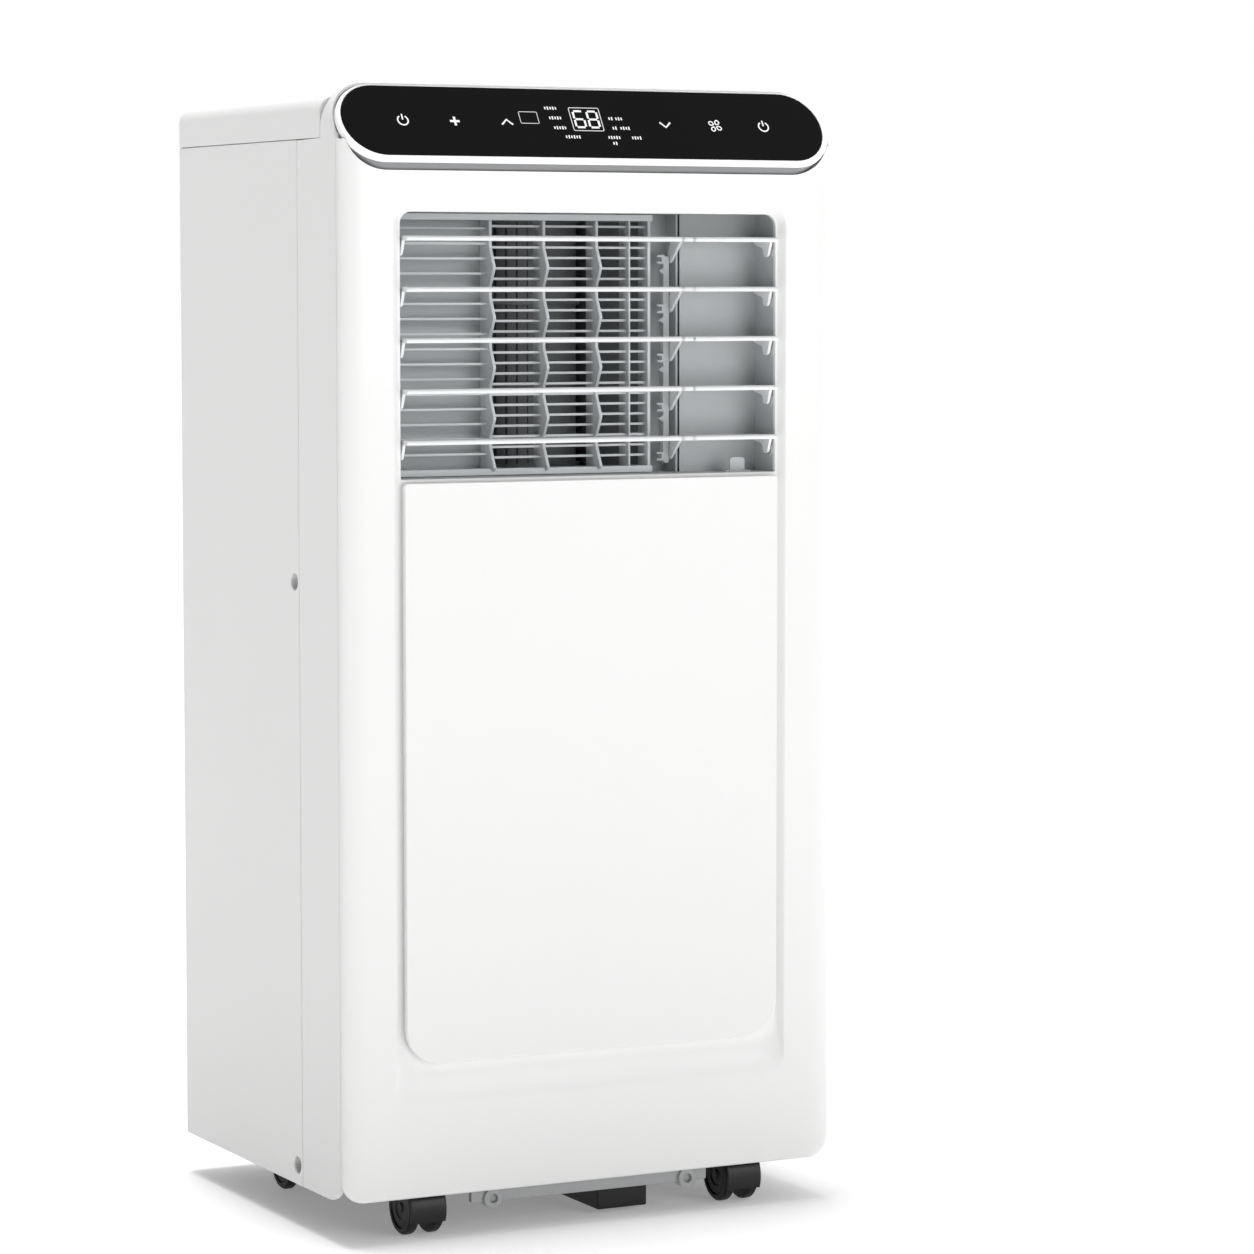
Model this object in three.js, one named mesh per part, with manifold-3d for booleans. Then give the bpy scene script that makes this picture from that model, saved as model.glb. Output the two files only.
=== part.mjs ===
// A portable air conditioner: an upright cabinet on four twin-wheel casters, with a tilted glass
// control head, five coupled outlet louvres and the cooling machinery inside.
// Millimetres. X runs to the right, Y to the back, Z up. Every piece is drawn with Y = 0 on the
// fascia's front plane and Z = 0 on the cabinet's lower edge; the outer group then moves the whole
// machine so that the origin is on the floor, under the middle of its bounding box.
import * as THREE from 'three';
import { mergeVertices } from 'three/addons/utils/BufferGeometryUtils.js';
import Module from 'manifold-3d';

const wasm = await Module();
wasm.setup();

// ---------------------------------------------------------------- driving dimensions
const GAP = 0.3; // between pieces that are fixed to each other
const RUN = 0.5; // between pieces that move past each other
const WALL = 2.5; // moulded shells
const THIN = 2; // inner mouldings

const CABINET_WIDTH = 330;
const CABINET_DEPTH = 262; // fascia plane to rear wall
const CABINET_HEIGHT = 629; // lower edge to the seam under the top cover
const REAR_CORNER = 8.5; // plan radius of the rear corners
const SIDE_SEAM = 64; // front frame to rear shell, behind the fascia plane
const COVER_RISE = 24.5; // top cover, seam to top
const COVER_EDGE = 8; // rounding of its upper edge

const FASCIA_THICK = 5.5;
const FASCIA_EDGE = 17.4; // width of the rounded strip along each side of the fascia
const FASCIA_CREASE = 4.7; // depth at which that strip meets the side crease
const FASCIA_FOOT_RADIUS = 14; // lower corners, front view
const FASCIA_HORN = 1; // the fascia's upper corners end this far under the cover seam
const SIDE_TOE_RUN = 20; // lower front corner of the side wall, side view
const SIDE_TOE_RISE = 11;

const OUTLET_WIDTH = 251;
const OUTLET_HEIGHT = 157;
const OUTLET_DROP = 43; // from the cover seam down to the outlet's upper edge
const OUTLET_RADIUS = 7;
const PANEL_BOTTOM = 81; // lower edge of the front panel
const PANEL_GAP = 2; // between the outlet and the panel
const PANEL_RADIUS = 22;
const PANEL_PROUD = 1.5;
const RECESS_MARGIN = 6.5; // shallow step around the outlet and the panel
const RECESS_DEPTH = 3;
const RECESS_RADIUS = 13;
const RECESS_RUNOUT = 26; // below the panel, where the step fades out

const HEAD_TILT = THREE.MathUtils.degToRad(32.5); // glass leans back from upright
const HEAD_SETBACK = 7.9; // glass centre behind the fascia plane
const HEAD_LIFT = 10.4; // glass centre above the cover seam
const GLASS_RADIUS = 24.4;
const GLASS_THICK = 2;
const GLASS_END_MARGIN = 5; // glass end to the side of the cabinet
const BEZEL_SIDE = 3.3; // rim beyond the glass at its ends
const BEZEL_RADIUS = 26;
const BEZEL_SHIFT = 1.5; // rim sits this much lower than the glass
const BEZEL_DEPTH = 4;
const BEZEL_LIP = 6; // ledge that the glass lies on
const BOARD_END_ROOM = 32; // display board to the ends of the glass
const BOARD_HALF = 15;
const BOARD_THICK = 1.6;
const DISPLAY_WIDTH = 36;
const DISPLAY_HEIGHT = 18;
const HEAD_TOP = 33; // housing top above the cover seam
const HEAD_SHOULDER = 27; // radius of the housing's shoulders
const HEAD_REAR = 29; // where the top cover starts

const LOUVRE_COUNT = 5;
const LOUVRE_FIRST_DROP = 15.4; // outlet's upper edge to the top louvre
const LOUVRE_LAST_RISE = 21.6; // outlet's lower edge to the bottom louvre
const LOUVRE_FRONT = -3.2;
const LOUVRE_REAR = 26;
const LOUVRE_THICK = 2.2;
const LOUVRE_END_PLAY = 1.5;
const PIVOT_SETBACK = 9.5;
const PIVOT_DROP = 8; // below the blade
const PIVOT_RADIUS = 2;
const ARM_ROOT = 6; // half width of the end arms at the blade
const ARM_TIP = 2.8; // and around the pivot
const MOTOR_REACH = 4; // driven pivot inside the motor's socket
const LOUVRE_MOTOR_RADIUS = 10;
const LOUVRE_MOTOR_LENGTH = 16;
const LOUVRE_MOTOR_OFFSET = 9; // can behind its output shaft
const CRANK_SIDE = 65.5; // left face of the cranks, from the middle of the outlet
const CRANK_THICK = 2;
const CRANK_SETBACK = 30; // crank pin
const CRANK_DROP = 12;
const CRANK_PIN_RADIUS = 1.6;
const ROD_WIDTH = 4;
const ROD_DEPTH = 5;

const DUCT_WALL = 3;
const DUCT_REAR = 45.5;
const BLANK_WALL_SETBACK = 28.5; // flat wall to the right of the link channel
const CHANNEL_RIGHT = 70;
const CHANNEL_LEFT = 55;
const GUARD_FRONT = 29.5;
const GUARD_REAR = 42.5;
const GUARD_RIB_STEP = 35.6;
const GUARD_BAR_STEP = 12.6;
const GUARD_SIDE_STEP = 9; // bars of the left-hand section
const GUARD_RAIL = 3;
const GUARD_BAR = 1.6;
const GUARD_SOLID_SPAN = 60; // the left-hand section, in front of the duct's blank wall
const GUARD_RIB = 2;

const BLOWER_RADIUS = 50;
const BLOWER_AXIS_X = -10;
const BLOWER_AXIS_Y = 112;
const BLOWER_BLADES = 20;
const BLOWER_SHAFT = 4;
const BLOWER_SHAFT_REACH = 20; // shaft inside the outlet
const BLOWER_END_ROOM = 3; // wheel to the air guide's plates
const BLOWER_CHORD = 12;
const BLOWER_HUB = 20;
const BLOWER_CLEAR = 5; // wheel to the guides around it
const HUB_RADIUS = 12;
const FAN_BLADE_THICK = 1.4;
const FAN_BLADE_SET = THREE.MathUtils.degToRad(28);
const BLOWER_MOTOR_RADIUS = 40;
const BLOWER_MOTOR_HEIGHT = 30;

const DECK_ROOM = 30; // outlet's lower edge down to the mid deck's lower face
const DECK_THICK = 3;
const DRIP_DEPTH = 12;
const DRIP_ROOM = 6; // tray in front of and behind the evaporator
const DRIP_SIDE_ROOM = 14; // and beyond its ends, under the return bends
const COIL_THICK = 28;
const COIL_SIDE_ROOM = 50; // cabinet wall to the evaporator and condenser
const COIL_TO_REAR = 34;
const CONDENSER_BOTTOM = 16;

const UPPER_GRILLE_WIDTH = 240;
const UPPER_GRILLE_HEIGHT = 204;
const UPPER_GRILLE_DROP = 17; // below the cover seam
const LOWER_GRILLE_WIDTH = 240;
const LOWER_GRILLE_BOTTOM = 45;
const GRILLE_ROOM = 6; // lower grille to the exhaust collar's flange
const GRILLE_PROUD = 3;
const GRILLE_THICK = 6;
const GRILLE_BORDER = 9;
const GRILLE_SLOT = 8;
const GRILLE_BAR = 4;
const FILTER_THICK = 3;
const FILTER_INSET = 4; // filter inside the grille's outline
const FILTER_RIM = 5;

const COLLAR_RADIUS = 72; // outside of the exhaust collar's tube
const COLLAR_RIM = 10; // flange beyond the tube
const COLLAR_PROUD = 12;
const COLLAR_INSERT = 12; // tube inside the rear wall
const DRAIN_RADIUS = 7;
const DRAIN_BORE = 4.5;
const DRAIN_PROUD = 7;
const CAP_RADIUS = 11;
const CAP_PROUD = 10;
const UPPER_DRAIN_SIDE = 110;
const LOWER_DRAIN_HEIGHT = 20.5;
const GLAND_SIDE = -125;
const GLAND_ROOM = 13; // lower grille to the cord gland
const GLAND_RADIUS = 11;

const SCREW_CUP_SETBACK = 72;
const SCREW_CUP_HEIGHTS = [12, 366];
const SCREW_CUP_RADIUS = 5.2;
const SCREW_CUP_DEPTH = 7;

const PAN_LIFT = 10; // underside of the base pan's flange, above the cabinet's lower edge
const PAN_THICK = 3;
const PAN_RIM = 16;
const BASIN_LEFT = -60;
const BASIN_RIGHT = 74;
const BASIN_FRONT = 12;
const BASIN_BACK_ROOM = 34; // basin to the rear wall
const BASIN_FLOOR = -6;
const BASIN_DRAIN = { x: 30, y: 60, radius: 9 };
const RAIL_HALF = 80;
const RAIL_DROP = 7.4;
const RAIL_THICK = 4;
const RAIL_BOSS_SIDE = 66;
const RAIL_BOSS_RADIUS = 6.2;
const RAIL_BOSS_BORE = 2.2;
const TRAY_LEFT = 12;
const TRAY_RIGHT = 46;
const TRAY_FRONT = 20;
const TRAY_BACK = 100;
const TRAY_BOTTOM = -23;

const WHEEL_RADIUS = 16.5;
const WHEEL_THICK = 7;
const WHEEL_SIDES = 20;
const TREAD_DEPTH = 3.5; // tread ring around the wheel's dished face
const DISH_DEPTH = 1;
const WEB_HALF = 4.2; // half of the fork between the wheels
const AXLE_RADIUS = 2.4;
const HOOD_THICK = 1.4;
const CASTER_TRAIL = 10; // wheel axle in front of the swivel axis at rest
const STEM_RADIUS = 4;
const STEM_SOCKET = 9;
const SOCKET_RISE = 13; // sockets over the pan's floor
const STEM_RISE = 10;
const HOOD_ROOM = 1.1; // hood to the base pan
const CASTER_FRONT_ROOM = 0.6; // hood to the front frame
const FRONT_CASTER_SIDE = 107.5;
const REAR_CASTER_SIDE = 120;
const REAR_CASTER_SETBACK = 190;

const COMPRESSOR_RADIUS = 48;
const COMPRESSOR_BOTTOM = 30;
const COMPRESSOR_TOP = 205;
const COMPRESSOR_SETBACK = 92;
const ACCUMULATOR_RADIUS = 14;
const ACCUMULATOR_SETBACK = 160;
const PIPE_RADIUS = 4;
const SCROLL_FRONT_ROOM = 110; // scroll's front face to the rear wall
const SCROLL_REAR_ROOM = 66;
const SCROLL_SIDE_ROOM = 14; // scroll beyond the plenum
const SCROLL_FLOOR_ROOM = 12; // scroll above the base pan
const EXHAUST_WHEEL_RADIUS = 76;
const EXHAUST_BLADES = 18;
const INLET_LIP = 16; // scroll's mouth inside the wheel's rim
const EXHAUST_END_ROOM = 3; // wheel to the scroll's walls
const EXHAUST_CHORD = 14;
const EXHAUST_HUB = 16;
const EXHAUST_SHAFT_REACH = 20; // shaft inside the scroll
const EXHAUST_MOTOR_RADIUS = 34;
const EXHAUST_MOTOR_LENGTH = 40;
const PLENUM_SIDE_ROOM = 14; // plenum beyond the exhaust collar
const PLENUM_HEAD_ROOM = 8;
const PLENUM_TO_DRIP = 7; // plenum to the drip tray above it
const SHAFT_RADIUS = 4;

const BOX_WIDTH = 74;
const BOX_FRONT = 16;
const BOX_BACK = 100;
const BOX_BOTTOM = 120;
const BOX_TOP = 330;
const BOARD_STANDOFF = 8;
const BLOCK_SETBACK = 12; // relays and transformer on the main board, behind its front edge
const BOARD_BLOCKS = [
  { up: 80, size: 26, rise: 18 },
  { up: 130, size: 20, rise: 22 },
  { up: 162, size: 30, rise: 12 },
];
const CAPACITOR_RADIUS = 20;
const CAPACITOR_LENGTH = 62;

// ---------------------------------------------------------------- places worked out from them
const HALF = CABINET_WIDTH / 2;
const INSIDE = HALF - WALL;
const REAR_INSIDE = CABINET_DEPTH - WALL;
const FRAME_FRONT = FASCIA_THICK + GAP;
const OUTLET_HALF = OUTLET_WIDTH / 2;
const OUTLET_TOP = CABINET_HEIGHT - OUTLET_DROP;
const OUTLET_BOTTOM = OUTLET_TOP - OUTLET_HEIGHT;
const PANEL_TOP = OUTLET_BOTTOM - PANEL_GAP;
const FASCIA_TOP = CABINET_HEIGHT - FASCIA_HORN;
const GLASS_END = HALF - GLASS_END_MARGIN;
const HEAD_LIP = 31; // how far below the glass centre the head reaches, in its own plane
const LOUVRE_TOP = OUTLET_TOP - LOUVRE_FIRST_DROP;
const LOUVRE_PITCH = (OUTLET_HEIGHT - LOUVRE_FIRST_DROP - LOUVRE_LAST_RISE) / (LOUVRE_COUNT - 1);
const DECK_BOTTOM = OUTLET_BOTTOM - DECK_ROOM;
const DECK_TOP = DECK_BOTTOM + DECK_THICK;
const DRIP_FLOOR = DECK_BOTTOM - DRIP_DEPTH;
const COIL_HALF = HALF - COIL_SIDE_ROOM;
const COIL_BACK = CABINET_DEPTH - COIL_TO_REAR + 2 * WALL;
const COIL_FRONT = COIL_BACK - COIL_THICK;
const UPPER_GRILLE_TOP = CABINET_HEIGHT - UPPER_GRILLE_DROP;
const UPPER_GRILLE_BOTTOM = UPPER_GRILLE_TOP - UPPER_GRILLE_HEIGHT;
const UPPER_DRAIN_HEIGHT = DRIP_FLOOR + DRAIN_RADIUS;
const PAN_TOP = PAN_LIFT + PAN_THICK;
const PLENUM_TOP = DRIP_FLOOR - PLENUM_TO_DRIP;
const PLENUM_HALF = COLLAR_RADIUS + PLENUM_SIDE_ROOM;
const COLLAR_HEIGHT = PLENUM_TOP - PLENUM_HEAD_ROOM - COLLAR_RADIUS; // axis over the lower edge
const COLLAR_FLANGE = COLLAR_RADIUS + COLLAR_RIM;
const LOWER_GRILLE_TOP = COLLAR_HEIGHT - COLLAR_FLANGE - GRILLE_ROOM;
const GLAND_HEIGHT = LOWER_GRILLE_TOP + GLAND_ROOM + GLAND_RADIUS;
const CONDENSER_TOP = COLLAR_HEIGHT - COLLAR_RADIUS;
const SCROLL_RADIUS = PLENUM_HALF + SCROLL_SIDE_ROOM;
const EXHAUST_AXIS_HEIGHT = PAN_TOP + SCROLL_FLOOR_ROOM + SCROLL_RADIUS;
const SCROLL_FRONT = CABINET_DEPTH - SCROLL_FRONT_ROOM;
const SCROLL_BACK = CABINET_DEPTH - SCROLL_REAR_ROOM;
const COMPRESSOR_X = -(INSIDE - COMPRESSOR_RADIUS - 4.5);
const ACCUMULATOR_X = -(INSIDE - ACCUMULATOR_RADIUS - 18);
const HOOD_RADIUS = WHEEL_RADIUS + RUN + HOOD_THICK;
const CASTER_HALF = WEB_HALF + RUN + WHEEL_THICK;
// The machine stands as high as its casters lift it under the base pan.
const FLOOR_CLEARANCE = WHEEL_RADIUS + HOOD_RADIUS + HOOD_ROOM - PAN_LIFT;
const FRONT_CASTER_SETBACK = FRAME_FRONT + CASTER_FRONT_ROOM + HOOD_RADIUS + CASTER_TRAIL;
const FRONT_MOST = HEAD_SETBACK - (BEZEL_RADIUS + BEZEL_SHIFT) * Math.sin(HEAD_TILT);
const REAR_MOST = CABINET_DEPTH + COLLAR_PROUD;

// ---------------------------------------------------------------- looks
const LOOKS = {
  white: { color: 0xf2f2f1, roughness: 0.32, metalness: 0 },
  shell: { color: 0xe4e4e3, roughness: 0.42, metalness: 0 },
  rim: { color: 0xf6f6f6, roughness: 0.2, metalness: 0.1 },
  glass: { color: 0x1a1a1b, roughness: 0.08, metalness: 0 },
  duct: { color: 0xa9adb0, roughness: 0.5, metalness: 0 },
  black: { color: 0x151515, roughness: 0.5, metalness: 0 },
  tread: { color: 0x1c1c1c, roughness: 0.7, metalness: 0 },
  rail: { color: 0xbfc1c2, roughness: 0.5, metalness: 0 },
  board: { color: 0x1f5c3a, roughness: 0.5, metalness: 0 },
  fins: { color: 0xb9bdc0, roughness: 0.35, metalness: 0.9 },
  copper: { color: 0xb4693f, roughness: 0.35, metalness: 1 },
  steel: { color: 0x8d9093, roughness: 0.4, metalness: 0.9 },
  rubber: { color: 0x2a2a2a, roughness: 0.8, metalness: 0 },
  mesh: { color: 0x3a3d40, roughness: 0.7, metalness: 0 },
};

// ---------------------------------------------------------------- solids
const MERGE_DISTANCE = 1e-4;
const ROUND_SIDES = 20;
const COLLAR_SIDES = 36;
const ARC_STEPS = 3;

function withoutSlivers(index) {
  const kept = [];
  for (let i = 0; i < index.length; i += 3) {
    const [a, b, c] = [index[i], index[i + 1], index[i + 2]];
    if (a !== b && b !== c && c !== a) kept.push(a, b, c);
  }
  return kept;
}

function signedVolume(points, index) {
  const [a, b, c] = [new THREE.Vector3(), new THREE.Vector3(), new THREE.Vector3()];
  let volume = 0;
  for (let i = 0; i < index.length; i += 3) {
    a.fromArray(points, 3 * index[i]);
    b.fromArray(points, 3 * index[i + 1]);
    c.fromArray(points, 3 * index[i + 2]);
    volume += a.dot(b.cross(c));
  }
  return volume;
}

// A closed three.js geometry as a solid, its faces pointing out.
function solid(geometry) {
  const bare = new THREE.BufferGeometry();
  bare.setAttribute('position', geometry.getAttribute('position'));
  bare.setIndex(geometry.getIndex());
  const merged = mergeVertices(bare, MERGE_DISTANCE);
  const points = merged.getAttribute('position').array;
  const index = withoutSlivers(merged.getIndex().array);
  if (signedVolume(points, index) < 0) index.reverse();
  const mesh = new wasm.Mesh({
    numProp: 3,
    vertProperties: new Float32Array(points),
    triVerts: new Uint32Array(index),
  });
  return new wasm.Manifold(mesh);
}

function geometryOf(body) {
  const mesh = body.getMesh();
  const geometry = new THREE.BufferGeometry();
  geometry.setAttribute('position', new THREE.BufferAttribute(mesh.vertProperties, 3));
  geometry.setIndex(new THREE.BufferAttribute(mesh.triVerts, 1));
  geometry.computeVertexNormals();
  return geometry;
}

const join = (first, ...others) => others.reduce((body, other) => body.add(other), first);
const cut = (first, ...others) => others.reduce((body, other) => body.subtract(other), first);

function box(x0, x1, y0, y1, z0, z1) {
  const geometry = new THREE.BoxGeometry(x1 - x0, y1 - y0, z1 - z0);
  return solid(geometry.translate((x0 + x1) / 2, (y0 + y1) / 2, (z0 + z1) / 2));
}

// Outlines stand in the plane across the named axis: X takes (y, z), Y takes (x, z), Z takes (x, y).
const ALONG = {
  X: new THREE.Matrix4().makeBasis(
    new THREE.Vector3(0, 1, 0), new THREE.Vector3(0, 0, 1), new THREE.Vector3(1, 0, 0)),
  Y: new THREE.Matrix4().makeRotationX(Math.PI / 2),
  Z: new THREE.Matrix4(),
};

function prism(axis, outline, from, to, steps = ARC_STEPS) {
  const geometry = new THREE.ExtrudeGeometry(outline, {
    depth: to - from, bevelEnabled: false, curveSegments: steps });
  const start = axis === 'Y' ? -to : from;
  return solid(geometry.translate(0, 0, start).applyMatrix4(ALONG[axis]));
}

function polygon(points) {
  return new THREE.Shape(points.map(([u, v]) => new THREE.Vector2(u, v)));
}

function roundedRect(u0, u1, v0, v1, lowRadius, highRadius) {
  const shape = new THREE.Shape();
  const quarter = Math.PI / 2;
  const corner = (u, v, radius, turn) => (radius > 0
    ? shape.absarc(u, v, radius, turn * quarter, (turn + 1) * quarter, false)
    : shape.lineTo(u, v));
  shape.moveTo(u0, v0 + lowRadius);
  corner(u0 + lowRadius, v0 + lowRadius, lowRadius, 2);
  corner(u1 - lowRadius, v0 + lowRadius, lowRadius, 3);
  corner(u1 - highRadius, v1 - highRadius, highRadius, 0);
  corner(u0 + highRadius, v1 - highRadius, highRadius, 1);
  shape.closePath();
  return shape;
}

function round(axis, u, v, radius, from, to, sides = ROUND_SIDES) {
  const geometry = new THREE.CylinderGeometry(radius, radius, to - from, sides);
  const middle = (from + to) / 2;
  if (axis === 'X') return solid(geometry.rotateZ(-Math.PI / 2).translate(middle, u, v));
  if (axis === 'Y') return solid(geometry.translate(u, middle, v));
  return solid(geometry.rotateX(Math.PI / 2).translate(u, v, middle));
}

// Turned about the named axis: each profile point is a radius and a place along the axis.
function turned(axis, profile, u, v, sides = ROUND_SIDES) {
  const points = profile.map(([radius, along]) => new THREE.Vector2(radius, along));
  const geometry = new THREE.LatheGeometry(points, sides);
  if (axis === 'Y') return solid(geometry.translate(u, 0, v));
  return solid(geometry.rotateX(Math.PI / 2).translate(u, v, 0));
}

function pipe(points, radius, bends = 6) {
  const stops = points.map((p) => new THREE.Vector3(...p));
  const route = new THREE.CatmullRomCurve3(stops, false, 'centripetal');
  const section = new THREE.Shape().absarc(0, 0, radius, 0, 2 * Math.PI, false);
  return solid(new THREE.ExtrudeGeometry(section, {
    steps: points.length * bends, extrudePath: route, curveSegments: 4 }));
}

function node(name, body, look) {
  const mesh = new THREE.Mesh(geometryOf(body), new THREE.MeshStandardMaterial(LOOKS[look]));
  mesh.name = name;
  return mesh;
}

const repeat = (count, make) => Array.from({ length: count }, (_, i) => make(i));

// ---------------------------------------------------------------- control head
const headPlace = new THREE.Matrix4().makeRotationX(Math.PI / 2 - HEAD_TILT)
  .setPosition(0, HEAD_SETBACK, CABINET_HEIGHT + HEAD_LIFT);

function stadium(halfLength, radius, shift = 0) {
  return roundedRect(-halfLength, halfLength, shift - radius, shift + radius, radius, radius);
}

// A plate in the tilted plane of the glass, from one depth to another along its normal.
function headPlate(outline, from, to) {
  const geometry = new THREE.ExtrudeGeometry(outline, {
    depth: to - from, bevelEnabled: false, curveSegments: ARC_STEPS + 1 });
  return solid(geometry.translate(0, 0, from).applyMatrix4(headPlace));
}

function controlBezel() {
  const rim = headPlate(stadium(GLASS_END + BEZEL_SIDE, BEZEL_RADIUS, -BEZEL_SHIFT), -BEZEL_DEPTH, 0);
  const pocket = headPlate(stadium(GLASS_END + GAP, GLASS_RADIUS + GAP), -GLASS_THICK - GAP, GAP);
  const window = headPlate(stadium(GLASS_END - BEZEL_LIP, GLASS_RADIUS - BEZEL_LIP), -2 * BEZEL_DEPTH, GAP);
  return node('control_bezel', cut(rim, pocket, window), 'rim');
}

function controlGlass() {
  return node('control_glass', headPlate(stadium(GLASS_END, GLASS_RADIUS), -GLASS_THICK, 0), 'glass');
}

function displayBoard() {
  const half = GLASS_END - BOARD_END_ROOM;
  const face = -BEZEL_DEPTH - 2 * GAP;
  const board = headPlate(roundedRect(-half, half, -BOARD_HALF, BOARD_HALF, 0, 0), face - BOARD_THICK, face);
  const [across, up] = [DISPLAY_WIDTH / 2, DISPLAY_HEIGHT / 2];
  const display = headPlate(roundedRect(-across, across, -up, up, 0, 0), face - GAP, -GLASS_THICK - 2 * GAP);
  return node('display_board', join(board, display), 'board');
}

// ---------------------------------------------------------------- cabinet
function fasciaPlan() {
  const flat = HALF - FASCIA_EDGE - GAP;
  const shape = new THREE.Shape();
  shape.moveTo(-flat - FASCIA_EDGE, FASCIA_THICK);
  shape.lineTo(-flat - FASCIA_EDGE, FASCIA_CREASE);
  shape.absellipse(-flat, FASCIA_CREASE, FASCIA_EDGE, FASCIA_CREASE, Math.PI, 1.5 * Math.PI, false, 0);
  shape.absellipse(flat, FASCIA_CREASE, FASCIA_EDGE, FASCIA_CREASE, 1.5 * Math.PI, 2 * Math.PI, false, 0);
  shape.lineTo(flat + FASCIA_EDGE, FASCIA_THICK);
  shape.closePath();
  return shape;
}

function frontFascia() {
  const front = -PANEL_PROUD - 1;
  const outline = roundedRect(-HALF, HALF, 0, 2 * CABINET_HEIGHT, FASCIA_FOOT_RADIUS, 0);
  const plate = prism('Z', fasciaPlan(), 0, FASCIA_TOP).intersect(prism('Y', outline, front, SIDE_SEAM));
  const recessHalf = OUTLET_HALF + RECESS_MARGIN;
  const recess = prism('Y', roundedRect(-recessHalf, recessHalf, PANEL_BOTTOM - PANEL_GAP,
    OUTLET_TOP + RECESS_MARGIN, 0, RECESS_RADIUS), front, RECESS_DEPTH);
  const fade = prism('X', polygon([
    [front, PANEL_BOTTOM - RECESS_RUNOUT], [0, PANEL_BOTTOM - RECESS_RUNOUT],
    [RECESS_DEPTH, PANEL_BOTTOM], [front, PANEL_BOTTOM]]), -recessHalf, recessHalf);
  const outlet = prism('Y', roundedRect(-OUTLET_HALF, OUTLET_HALF, OUTLET_BOTTOM, OUTLET_TOP,
    0, OUTLET_RADIUS), front, SIDE_SEAM);
  const head = headPlate(stadium(GLASS_END + BEZEL_SIDE + GAP, BEZEL_RADIUS + GAP, -BEZEL_SHIFT), -40, 40);
  const aboveHead = box(-OUTLET_HALF, OUTLET_HALF, front, SIDE_SEAM,
    CABINET_HEIGHT - HEAD_LIFT, 2 * CABINET_HEIGHT);
  return node('front_fascia', cut(plate, recess, fade, outlet, head, aboveHead), 'white');
}

function frontPanel() {
  const outline = roundedRect(-OUTLET_HALF, OUTLET_HALF, PANEL_BOTTOM, PANEL_TOP, PANEL_RADIUS, 2);
  return node('front_panel', prism('Y', outline, -PANEL_PROUD, RECESS_DEPTH - GAP), 'white');
}

// Side view of the front frame: its lower front corner is rounded away.
function frameSideView(top) {
  const shape = new THREE.Shape();
  shape.moveTo(FRAME_FRONT + SIDE_TOE_RUN, 0);
  shape.lineTo(SIDE_SEAM, 0);
  shape.lineTo(SIDE_SEAM, top);
  shape.lineTo(FRAME_FRONT, top);
  shape.absellipse(FRAME_FRONT + SIDE_TOE_RUN, SIDE_TOE_RISE, SIDE_TOE_RUN, SIDE_TOE_RISE,
    Math.PI, 1.5 * Math.PI, false, 0);
  return shape;
}

function headHousing() {
  const low = OUTLET_TOP + HEAD_REAR / 2;
  const top = CABINET_HEIGHT + HEAD_TOP;
  const outer = prism('Y', roundedRect(-HALF, HALF, low, top, 0, HEAD_SHOULDER), FRAME_FRONT, HEAD_REAR);
  const inner = prism('Y', roundedRect(-INSIDE, INSIDE, low - 1, top - WALL, 0, HEAD_SHOULDER - WALL),
    0, HEAD_REAR - WALL);
  const underCover = box(-INSIDE, INSIDE, 0, SIDE_SEAM, low - 1, CABINET_HEIGHT - WALL);
  return cut(outer, inner, underCover);
}

function frontFrame() {
  const plan = polygon([
    [-HALF, FRAME_FRONT], [HALF, FRAME_FRONT], [HALF, SIDE_SEAM], [INSIDE, SIDE_SEAM],
    [INSIDE, FRAME_FRONT + WALL], [-INSIDE, FRAME_FRONT + WALL], [-INSIDE, SIDE_SEAM], [-HALF, SIDE_SEAM]]);
  const walls = prism('Z', plan, 0, CABINET_HEIGHT)
    .intersect(prism('X', frameSideView(CABINET_HEIGHT), -HALF, HALF));
  const outletRoom = box(-INSIDE + 8, INSIDE - 8, 0, FRAME_FRONT + 2 * WALL,
    OUTLET_BOTTOM - 12, CABINET_HEIGHT + 1);
  const ahead = headPlate(roundedRect(-CABINET_WIDTH, CABINET_WIDTH, -HEAD_LIP, 3 * HEAD_LIP, 0, 0),
    -BEZEL_DEPTH - GAP, CABINET_DEPTH);
  const toeRoom = box(-INSIDE, INSIDE, 0, FRAME_FRONT + 2 * WALL, -1, PAN_LIFT);
  return node('front_frame', cut(join(cut(walls, outletRoom, toeRoom), headHousing()), ahead), 'white');
}

function rearPlan(half, front, back, corner) {
  const shape = new THREE.Shape();
  shape.moveTo(-half, front);
  shape.lineTo(half, front);
  shape.lineTo(half, back - corner);
  shape.absarc(half - corner, back - corner, corner, 0, Math.PI / 2, false);
  shape.absarc(-half + corner, back - corner, corner, Math.PI / 2, Math.PI, false);
  shape.closePath();
  return shape;
}

function screwCups(depth, radius, start) {
  return [-1, 1].flatMap((side) => SCREW_CUP_HEIGHTS.map((height) => {
    const ends = [side * (HALF - depth), side * (HALF + start)].sort((a, b) => a - b);
    return round('X', SCREW_CUP_SETBACK, height, radius, ...ends, 12);
  }));
}

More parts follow.
